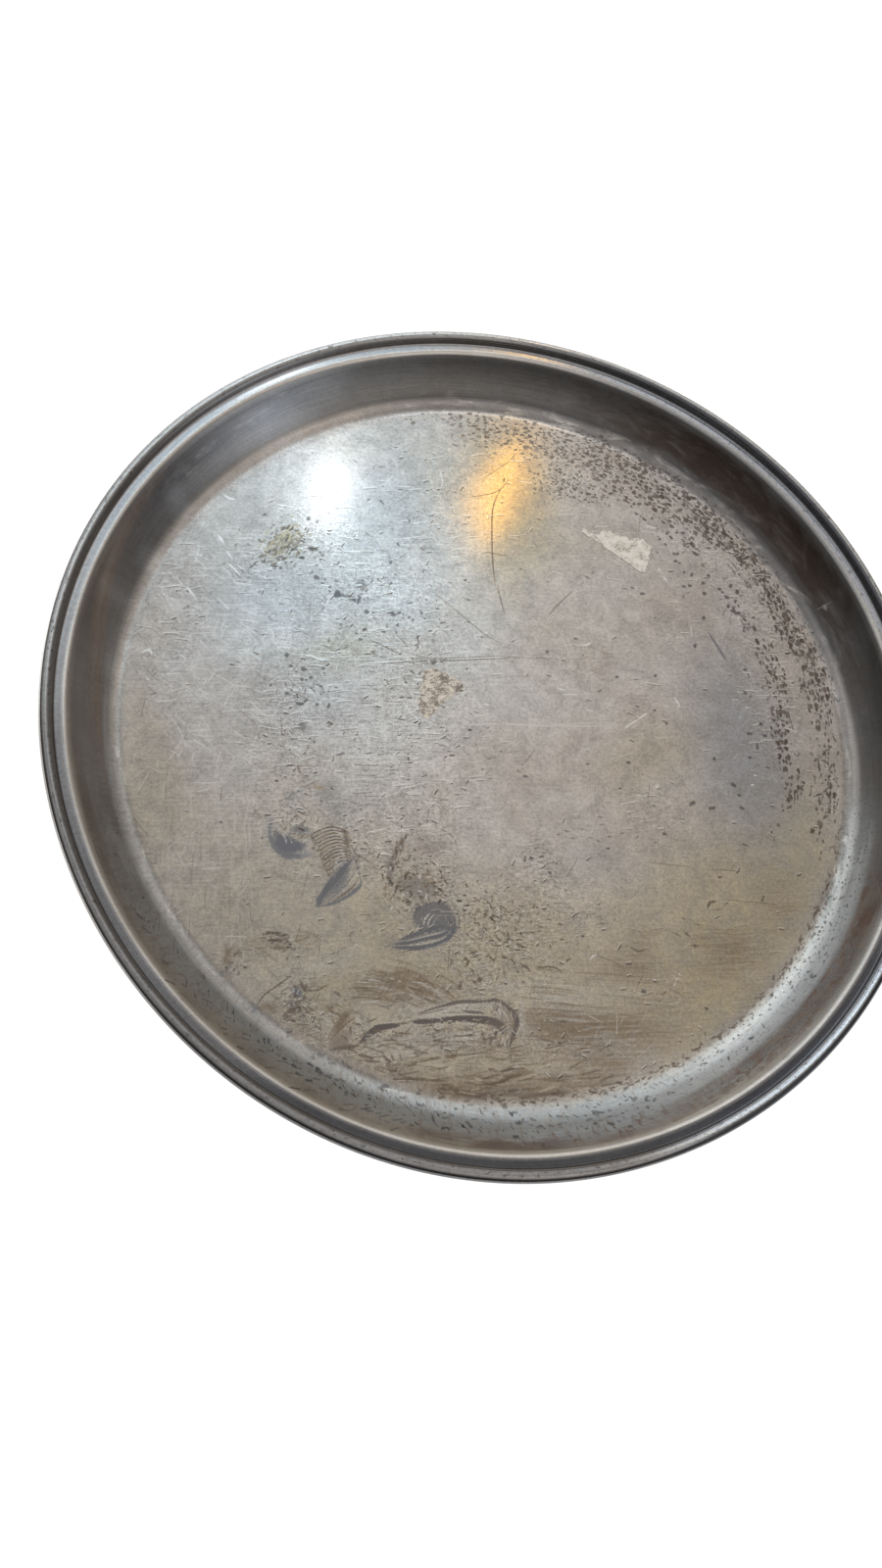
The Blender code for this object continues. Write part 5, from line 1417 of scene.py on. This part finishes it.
    # The wiped near wall, pale and bluish, partly a painted sheen.
    scour = g.noise(g.join(along * 0.16, turn * 75.0), 1.0, 3.0, 0.65, 0.4)
    colour = g.mix(clean_and_sheen * g.step(scour, 0.30, 0.52) * 0.75, colour, (0.75, 0.79, 0.80))
    nick = g.noise(g.turned((along, turn * 114.0, z), 28, (0.30, 1.0)), 1.0, 2.0, 0.6)
    colour = g.mix(g.step(nick, 0.61, 0.68) * clean_and_sheen * 0.75, colour, (0.13, 0.13, 0.145))
    colour = g.mix(sooty * g.step(cloud, 0.34, 0.54) * 0.7, colour, (0.28, 0.205, 0.18))
    # Painted reflection: near-white haze on the walls and a glint line along the fillet.
    colour = g.mix(haze_and_glint * 0.9, colour, (0.94, 0.92, 0.91))

    # The ledge and the bead, with their painted reflections and shade, and the crest worn and painted with its
    # highlight.
    colour = g.mix(rimmed, colour, rim)
    nicks = g.step(g.noise(g.join(along * 0.8, turn * 60.0), 1.0, 3.0, 0.7), 0.56, 0.66)
    colour = g.mix(bead_top * nicks * 0.8, colour, (0.14, 0.13, 0.13))
    # Painted highlight along the worn crest.
    colour = g.mix(worn_and_highlit * g.step(cloud, 0.24, 0.44), colour, (0.98, 0.92, 0.84))

    # General unevenness of the plate at three scales.
    tone = ((fine - 0.5) + (grain - 0.5)) * (scuffed * 0.80 + floor * 0.55 + rimmed * 0.50 + 0.20) + (mid - 0.5) * (floor * 0.72 + 0.25) + (wipe - 0.5) * (hairy * 0.65) + 0.97
    tone = tone + (lathe - 0.5) * g.step(floor, 0.9, 0.2) * 0.5
    colour = g.tint(colour, tone)

    # Hairlines, each set in its own direction.
    height = fine * (emboss * 0.011 + 0.0012) + nap * 0.0006
    lines = None
    for k, (degrees, low) in enumerate(((8, 0.665), (-24, 0.68), (38, 0.675), (64, 0.685), (-58, 0.69), (84, 0.70))):
        shifted = g.turned((x + 31.0 * k, y - 17.0 * k, z), degrees, (0.065, 1.15))
        line = g.step(g.noise(shifted, 1.0, 2.0, 0.45, 0.08), low - 0.03, low + 0.03)
        patch = g.step(g.noise(flat, 0.045 + 0.006 * k, 1.0, 0.5), 0.42, 0.58)
        line = line * patch * hairy
        lines = line if lines is None else g.max(lines, line)
    pale = g.step(g.noise(flat, 0.08, 1.0, 0.5), 0.40, 0.52)
    colour = g.mix(lines * 0.72 * pale * floor, colour, (0.84, 0.82, 0.79))
    colour = g.mix(lines * 0.50 * (1.0 - pale) * floor, colour, (0.28, 0.25, 0.22))

    # The dense band of pits by the edge: two sizes, longest round the tray.
    pit_in = None
    for k, (size, stretch, share) in enumerate(((0.56, 0.34, 1.0), (0.90, 0.46, 1.0))):
        wa, wb, _ = g.split_colour(g.noise(flat, 0.75, 2.0, 0.6, 0.0, True))
        where = g.join((along + (wa - 0.5) * 1.7 + 7.3 * k) * size, (turn * 114.0 + (wb - 0.5) * 1.7) * stretch)
        distance, cell = g.cells(where, 1.0)
        ra, rb, rc = g.split_colour(cell)
        there = g.step(rb, pitted * share, pitted * share - 0.05)
        radius = (ra * 0.32 + 0.19) * g.step(x, 10.0, 85.0, 0.66, 1.0)
        pit = g.step(distance, radius + 0.05, radius - 0.09) * there * g.step(pitted, 0.02, 0.15)
        pit = pit * (rc * 0.35 + 0.65)
        pit_in = pit if pit_in is None else g.max(pit_in, pit)
    colour = g.mix(pit_in * g.step(x, 10.0, 80.0, 0.78, 0.95), colour, (0.125, 0.092, 0.070))
    height = height - pit_in * 0.045

    colour, marked = read_marks(g, x, y, edge, colour)

    rough = 0.138 + (mid - 0.5) * 0.06 - tan_in * 0.02 + brown_in * 0.08 + specks * 0.08
    rough = rough + g.max(pit_in, marked) * 0.04 + satin + rust_in * 0.30 + bloom_in * 0.10
    set_shader(g, shader, colour, g.clamp(rough), 1.0, height, 0.001, 1.0)
    return mat


def under_finish():
    """The underside: spun lines under a browner, duller film, scuffed where
    the tray stands."""
    mat, g, shader = new_material("worn_plate_under")
    coords = Sock(g, g.node("ShaderNodeTexCoord").outputs["Object"])
    p = g.vec("SCALE", coords, scale=1000.0)
    x, y, z = g.split(p)
    flat = g.join(x, y)
    radius = g.vec("LENGTH", flat)
    turn = g.math("ARCTAN2", y, x)
    broad = g.noise(flat, 0.028, 3.0, 0.6, 0.5)
    mid = g.noise(flat, 0.13, 4.0, 0.65, 0.8)
    fine = g.noise(flat, 0.9, 3.0, 0.6)
    spun = g.noise(g.join(radius * 1.3, turn * 2.0), 1.0, 3.0, 0.6)
    rings = g.noise(g.join(radius * 0.16, turn * 0.5), 1.0, 2.0, 0.5)
    colour = g.mix(g.step(broad, 0.36, 0.64), (0.55, 0.50, 0.44), (0.40, 0.345, 0.275))
    colour = g.mix(g.step(mid, 0.50, 0.72) * 0.6, colour, (0.25, 0.195, 0.145))
    colour = g.mix(g.step(rings, 0.50, 0.66) * 0.25, colour, (0.66, 0.62, 0.57))
    specks = g.step(g.noise(flat, 0.55, 5.0, 0.72, 0.6), 0.60, 0.68)
    colour = g.mix(specks * 0.5, colour, (0.15, 0.125, 0.105))
    # Scuffs from table tops: a worn ring at the foot, and straight scratches.
    foot = g.step(radius, 112.0, 123.0) * g.step(radius, 130.5, 128.0)
    scuff = g.step(g.noise(flat, 0.5, 4.0, 0.7), 0.42, 0.62)
    colour = g.mix(foot * scuff * 0.75, colour, (0.74, 0.70, 0.64))
    lines = None
    for k, (degrees, low) in enumerate(((12, 0.66), (-35, 0.665), (58, 0.67), (80, 0.68), (-70, 0.68))):
        shifted = g.turned((x + 23.0 * k, y + 11.0 * k, z), degrees, (0.03, 1.2))
        line = g.step(g.noise(shifted, 1.0, 2.0, 0.45, 0.1), low, low + 0.05)
        line = line * g.step(g.noise(flat, 0.04 + 0.005 * k, 1.0, 0.5), 0.42, 0.58)
        lines = line if lines is None else g.max(lines, line)
    colour = g.mix(lines * 0.5, colour, (0.76, 0.72, 0.66))
    # Up the outside of the wall the film is darker.
    wall = g.step(z, 1.2, 6.0)
    colour = g.mix(wall * g.step(mid, 0.36, 0.6) * 0.55, colour, (0.20, 0.175, 0.155))
    colour = g.tint(colour, (fine - 0.5) * 0.35 + (spun - 0.5) * 0.40 + 1.0)
    height = spun * 0.012 + fine * 0.008 - lines * 0.02 - specks * 0.03
    rough = 0.30 + (mid - 0.5) * 0.16 + (spun - 0.5) * 0.12 + foot * scuff * 0.06 + specks * 0.12
    set_shader(g, shader, colour, g.clamp(rough), 1.0, height, 0.001, 1.0)
    return mat


def wire_finish():
    """Drawn steel wire, browned where it shows under the curl."""
    mat, g, shader = new_material("drawn_wire")
    coords = Sock(g, g.node("ShaderNodeTexCoord").outputs["Object"])
    p = g.vec("SCALE", coords, scale=1000.0)
    x, y, z = g.split(p)
    turn = g.math("ARCTAN2", y, x)
    radius = g.vec("LENGTH", g.join(x, y))
    drawn = g.noise(g.join(radius * 3.0, turn * 4.0, z * 3.0), 1.0, 3.0, 0.6)
    rust = g.step(g.noise(p, 0.35, 4.0, 0.7, 0.5), 0.48, 0.64)
    colour = g.mix(rust * 0.8, (0.36, 0.35, 0.34), (0.16, 0.085, 0.045))
    colour = g.tint(colour, (drawn - 0.5) * 0.6 + 1.0)
    rough = 0.36 + (drawn - 0.5) * 0.15 + rust * 0.25
    set_shader(g, shader, colour, g.clamp(rough), 1.0, drawn * 0.03 + rust * 0.02, 0.001, 1.0)
    return mat


# ------------------------------------------------------------ label scraps
# Outlines in mm. The long lower edge of the large one is the label's own cut.
LARGE_SCRAP = (
    (32.1, 80.8), (34.9, 78.7), (40.9, 74.8), (46.0, 71.3), (51.7, 67.6),
    (56.6, 65.0), (57.6, 68.6), (59.0, 73.0), (60.0, 76.6), (59.5, 80.2),
    (55.6, 79.2), (52.3, 78.7), (50.2, 80.6), (47.0, 81.5), (43.2, 80.7),
    (41.2, 82.0), (37.0, 80.6), (34.0, 81.9),
)
LARGE_TORN = (
    (32.2, 80.3), (33.6, 79.2), (34.9, 78.1), (36.3, 77.7), (37.3, 76.9), (38.9, 76.0), (40.4, 75.3), (40.7, 74.3),
    (43.0, 73.0), (46.0, 71.0), (49.0, 69.1), (52.0, 67.1), (54.3, 65.5), (55.4, 65.5), (56.1, 65.2), (56.5, 66.2),
    (56.7, 67.6), (57.7, 68.9), (57.8, 70.4), (58.4, 71.5), (58.1, 72.6), (58.8, 73.8), (58.7, 75.1), (59.3, 76.0),
    (60.0, 76.7), (58.6, 77.0), (57.7, 78.2), (57.0, 78.5), (56.5, 79.9), (55.2, 79.3), (54.2, 80.2), (53.0, 79.7),
    (52.2, 78.7), (50.7, 78.6), (50.0, 79.6), (48.6, 80.0), (47.4, 79.3), (47.0, 80.6), (45.2, 81.3), (44.5, 80.6),
    (43.6, 81.7), (42.0, 81.2), (41.0, 82.0), (39.9, 80.9), (39.2, 79.6), (37.3, 79.4), (36.2, 80.0), (35.0, 79.6),
    (34.3, 80.6), (33.9, 81.6), (32.8, 81.5),
)
SMALL_TORN = (
    (-27.2, 17.2), (-27.6, 15.6), (-28.2, 14.0), (-27.9, 12.6), (-28.6, 10.9), (-28.9, 9.2), (-28.6, 7.6), (-29.3, 5.9),
    (-29.7, 4.2), (-29.0, 2.6), (-28.3, 1.0), (-28.2, 0.0), (-27.2, -0.6), (-26.2, -1.0), (-25.0, 0.2), (-23.8, 1.1),
    (-22.6, 2.3), (-21.9, 3.8), (-20.9, 4.9), (-19.9, 6.2), (-18.6, 7.4), (-17.6, 8.5), (-16.1, 9.7), (-14.8, 10.8),
    (-13.6, 11.9), (-13.8, 13.2), (-15.3, 14.2), (-16.9, 15.4), (-18.6, 15.9), (-19.8, 17.0), (-21.6, 17.2), (-23.0, 17.8),
    (-24.6, 18.4), (-25.9, 17.7),
)


def frayed(outline, rng, step, reach):
    """The outline in short steps, each point knocked a little sideways."""
    p = np.array(outline)
    out = []
    for a, b in zip(p, np.roll(p, -1, 0)):
        n = max(1, int(round(np.hypot(*(b - a)) / step)))
        side = np.array([a[1] - b[1], b[0] - a[0]]) / max(np.hypot(*(b - a)), 1e-6)
        straight = (b - a)[0] > 1.9 and (b - a)[1] < -1.1
        for k in range(n):
            out.append(a + (b - a) * k / n + side * rng.normal(0, reach * (0.25 if straight else 1.0)))
    return np.array(out)


def add_scrap(name, outline, seed, thickness, floor_height, reach):
    """A torn sheet stuck down on the floor: its edges are frayed, its face
    is cockled, and a few edges have lifted."""
    from mathutils.geometry import delaunay_2d_cdt

    rng = np.random.default_rng(seed)
    rim = frayed(outline, rng, 0.45, reach)
    low, high = rim.min(0), rim.max(0)
    gx, gy = np.meshgrid(np.arange(low[0], high[0], 0.55), np.arange(low[1], high[1], 0.55))
    inner = np.stack([gx.ravel(), gy.ravel()], -1) + rng.uniform(-0.12, 0.12, (gx.size, 2))
    # Keep the points that lie well inside the outline.
    a, b = rim, np.roll(rim, -1, 0)
    inside = np.zeros(len(inner), bool)
    gap = np.full(len(inner), 1e9)
    for p, q in zip(a, b):
        cross = (p[1] > inner[:, 1]) != (q[1] > inner[:, 1])
        at = p[0] + (inner[:, 1] - p[1]) * (q[0] - p[0]) / (q[1] - p[1] + 1e-12)
        inside ^= cross & (inner[:, 0] < at)
        d = q - p
        t = np.clip(((inner - p) @ d) / (d @ d), 0, 1)
        gap = np.minimum(gap, np.hypot(*(inner - p - t[:, None] * d).T))
    inner, gap = inner[inside & (gap > 0.25)], gap[inside & (gap > 0.25)]
    points = np.concatenate([rim, inner])
    gaps = np.concatenate([np.zeros(len(rim)), gap])
    count = len(rim)
    edges = [(i, (i + 1) % count) for i in range(count)]
    flat, _, faces, *_ = delaunay_2d_cdt([Vector(p) for p in points], edges, [], 1, 1e-5)
    flat = np.array([tuple(v) for v in flat])
    if len(flat) != len(points):
        gaps = np.array([gaps[np.hypot(*(points - v).T).argmin()] for v in flat])
        on_rim = gaps == 0
    x, y = flat[:, 0], flat[:, 1]
    cockle = 0.018 * np.sin(x * 2.3 + 1) * np.cos(y * 2.9) + 0.012 * np.sin(x * 5.1 + y * 4.3)
    edge = np.exp(-gaps / 0.5)
    curl = 0.05 * edge * (0.5 + 0.5 * np.sin(x * 1.1 + 2.0 * y + seed))
    base = floor_height(x, y) + 0.015
    top = base + thickness + (cockle + 0.03) * (1 - edge) + curl
    n = len(flat)
    verts = np.concatenate([np.stack([x, y, top], -1), np.stack([x, y, base], -1)]) * MM
    tris = [tuple(f) for f in faces]
    out = list(tris) + [tuple(n + i for i in reversed(f)) for f in tris]
    seen = {}
    for f in tris:
        for i in range(len(f)):
            seen[(f[i], f[(i + 1) % len(f)])] = True
    for i, k in seen:
        if (k, i) not in seen:
            out.append((k, i, n + i, n + k))
    mesh = bpy.data.meshes.new(name)
    mesh.from_pydata(verts.tolist(), [], out)
    mesh.shade_smooth()
    mesh.set_sharp_from_angle(angle=math.radians(50))
    layer = mesh.attributes.new("from_edge", "FLOAT", "POINT")
    layer.data.foreach_set("value", np.tile(gaps, 2).astype(np.float32))
    ob = bpy.data.objects.new(name, mesh)
    bpy.context.scene.collection.objects.link(ob)
    return ob


def paper_finish(name, face, worn, holes, share, rough):
    """Old paper: fibres, grime in its low places, worn through in patches."""
    mat, g, shader = new_material(name)
    coords = Sock(g, g.node("ShaderNodeTexCoord").outputs["Object"])
    p = g.vec("SCALE", coords, scale=1000.0)
    x, y, z = g.split(p)
    flat = g.join(x, y)
    away = g.value("from_edge")
    fibre = g.noise(g.turned((x, y, z), 14, (0.55, 1.6)), 1.0, 4.0, 0.68, 0.8)
    cloth = g.noise(flat, 0.30, 4.0, 0.65, 0.6)
    fine = g.noise(flat, 2.0, 3.0, 0.65)
    colour = g.mix(g.step(cloth, 0.38, 0.60), face, worn)
    colour = g.mix(g.step(fibre, 0.54, 0.66) * 0.8, colour, (min(1, face[0] * 1.12), min(1, face[1] * 1.12), min(1, face[2] * 1.10)))
    gone = g.step(cloth * 0.40 + fine * 0.25 + (1.0 - fibre) * 0.35, share, share + 0.05)
    colour = g.mix(gone * 0.85, colour, holes)
    dots = g.step(g.noise(g.join(x + 9.0, y), 1.1, 4.0, 0.7, 0.6), 0.585, 0.655)
    colour = g.mix(dots * 0.7, colour, (holes[0] * 0.45, holes[1] * 0.43, holes[2] * 0.40))
    colour = g.mix(g.step(away, 0.35, 0.0) * 0.35, colour, face)
    colour = g.tint(colour, (fine - 0.5) * 0.8 + 1.0)
    height = fibre * 0.05 + fine * 0.02 - gone * 0.04
    set_shader(g, shader, colour, g.clamp(rough + (fine - 0.5) * 0.2), 0.0, height, 0.001, 1.0)
    return mat


# ------------------------------------------------------------------- stage
def add_light(name, at, towards, size, colour, radiance, shape="RECTANGLE"):
    """An area light whose face glows with the given radiance."""
    data = bpy.data.lights.new(name, "AREA")
    data.shape = shape
    data.size, data.size_y = size
    data.color = colour
    data.energy = radiance * math.pi * size[0] * size[1]
    ob = bpy.data.objects.new(name, data)
    ob.location = at
    ob.rotation_euler = (Vector(towards) - Vector(at)).to_track_quat("-Z", "Y").to_euler()
    bpy.context.scene.collection.objects.link(ob)
    return ob


def add_world():
    """A soft studio: a glow overhead and behind the lamp, dim at the sides."""
    world = bpy.data.worlds.new("studio")
    bpy.context.scene.world = world
    world.use_nodes = True
    g = Graph(world.node_tree)
    back = world.node_tree.nodes["Background"]
    d = g.vec("NORMALIZE", Sock(g, g.node("ShaderNodeTexCoord").outputs["Generated"]))
    x, y, z = g.split(d)

    def lobe(direction, width):
        n = Vector(direction).normalized()
        c = g.vec("DOT_PRODUCT", d, tuple(n))
        return g.math("EXPONENT", (c - 1.0) * (2.0 / width ** 2))

    cool = g.step(x, 0.5, -0.3)
    base = g.mix(cool, (1.0, 0.965, 0.92), (0.97, 0.985, 1.0))
    colour = g.tint(base, g.step(z, 0.22, 0.95, 0.055, 0.34) + g.step(y, 0.2, 0.9) * g.step(z, 0.02, 0.25) * 0.16)
    for direction, width, glow in (
        ((0.13, 0.49, 0.86), 0.30, (0.345, 0.325, 0.31)),      # the ceiling round the lamps
        ((0.080, 0.525, 0.845), 0.12, (0.22, 0.50, 0.69)),    # haze round the cool lamp
        ((0.30, -0.25, 0.92), 0.42, (0.40, 0.38, 0.36)),      # over the near side
        ((0.45, 0.25, 0.86), 0.25, (0.06, 0.055, 0.05)),
        ((0.28, -0.45, 0.85), 0.30, (0.10, 0.10, 0.10)),      # behind the camera
        ((-0.48, 0.18, 0.86), 0.25, (0.22, 0.225, 0.23)),       # a window high up at the left
        ((-0.05, 0.85, 0.50), 0.32, (0.28, 0.32, 0.36)),      # the far side of the room
        ((0.25, 0.90, 0.38), 0.30, (0.24, 0.22, 0.20)),
        ((0.90, 0.40, 0.20), 0.30, (0.12, 0.12, 0.12)),
        ((0.92, -0.37, 0.12), 0.30, (0.16, 0.17, 0.19)),
        ((0.83, -0.48, 0.27), 0.27, (0.28, 0.32, 0.37)),
        ((0.50, -0.75, 0.40), 0.25, (0.05, 0.055, 0.06)),
        ((-0.20, 0.93, 0.24), 0.34, (0.27, 0.29, 0.31)),
    ):
        colour = g.vec("ADD", colour, g.tint(glow, lobe(direction, width)))
    camera = Sock(g, g.node("ShaderNodeLightPath").outputs["Is Camera Ray"])
    colour = g.mix(camera, colour, (1.0, 1.0, 1.0))
    g.put(back.inputs["Color"], colour)
    back.inputs["Strength"].default_value = 1.0


def add_floor():
    size = 3.0
    mesh = bpy.data.meshes.new("studio_floor")
    mesh.from_pydata([(-size, -size, 0), (size, -size, 0), (size, size, 0), (-size, size, 0)], [], [(0, 1, 2, 3)])
    ob = bpy.data.objects.new("studio_floor", mesh)
    bpy.context.scene.collection.objects.link(ob)
    mat, g, shader = new_material("studio_floor")
    shader.inputs["Base Color"].default_value = (0.25, 0.25, 0.25, 1)
    shader.inputs["Roughness"].default_value = 0.8
    shader.inputs["Specular IOR Level"].default_value = 0.1
    shader.inputs["Emission Color"].default_value = (1, 1, 1, 1)
    shader.inputs["Emission Strength"].default_value = 0.95
    mesh.materials.append(mat)
    return ob


def main():
    scene = bpy.context.scene
    scene.view_settings.view_transform = "Standard"
    scene.view_settings.look = "None"
    add_camera()
    add_world()
    add_floor()
    # A cool ceiling lamp and a small warm one, both mirrored by the floor.
    add_light("cool_lamp", (0.036, 0.945, 1.261), (-0.065, 0.095, 0), (0.060, 0.116), (0.93, 0.98, 1.0), 3.5, "ELLIPSE")
    # Light for the paper and the floor only, so that it makes no glare.
    fill = add_light("fill", (-0.35, -0.30, 1.10), (0, 0, 0), (0.9, 0.9), (1.0, 0.99, 0.97), 1.9)
    fill.visible_glossy = False
    add_light("warm_lamp", (0.307, 0.938, 1.20), (0.003, 0.10, 0), (0.029, 0.185), (1.0, 0.50, 0.0), 3.8, "ELLIPSE")

    tray, rows, along, up = add_tray()
    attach(tray, "root")
    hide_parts("tray_body")
    tray.data.materials.append(upper_finish())
    tray.data.materials.append(under_finish())
    add_layers(tray.data, rows, along, up)

    wire = add_wire()
    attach(wire, "root")
    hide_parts("rim_wire")
    wire.data.materials.append(wire_finish())

    def floor_height(x, y):
        r = np.hypot(x, y)
        return SHEET + np.clip(1 - (r / 124.0) ** 4, 0, 1) * (0.16 + 0.10 * waves(x, y))

    large = add_scrap("label_scrap_upper", LARGE_TORN, 3, 0.13, floor_height, 0.13)
    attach(large, "root")
    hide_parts("label_scrap_large")
    large.data.materials.append(
        paper_finish("label_paper_worn", (1.0, 0.945, 0.845), (0.84, 0.78, 0.68), (0.36, 0.32, 0.27), 0.535, 0.8)
    )
    small = add_scrap("label_scrap_middle", SMALL_TORN, 5, 0.06, floor_height, 0.20)
    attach(small, "root")
    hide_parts("label_scrap_small")
    small.data.materials.append(
        paper_finish("label_residue_worn", (0.88, 0.79, 0.68), (0.58, 0.52, 0.45), (0.22, 0.185, 0.155), 0.495, 0.6)
    )


main()
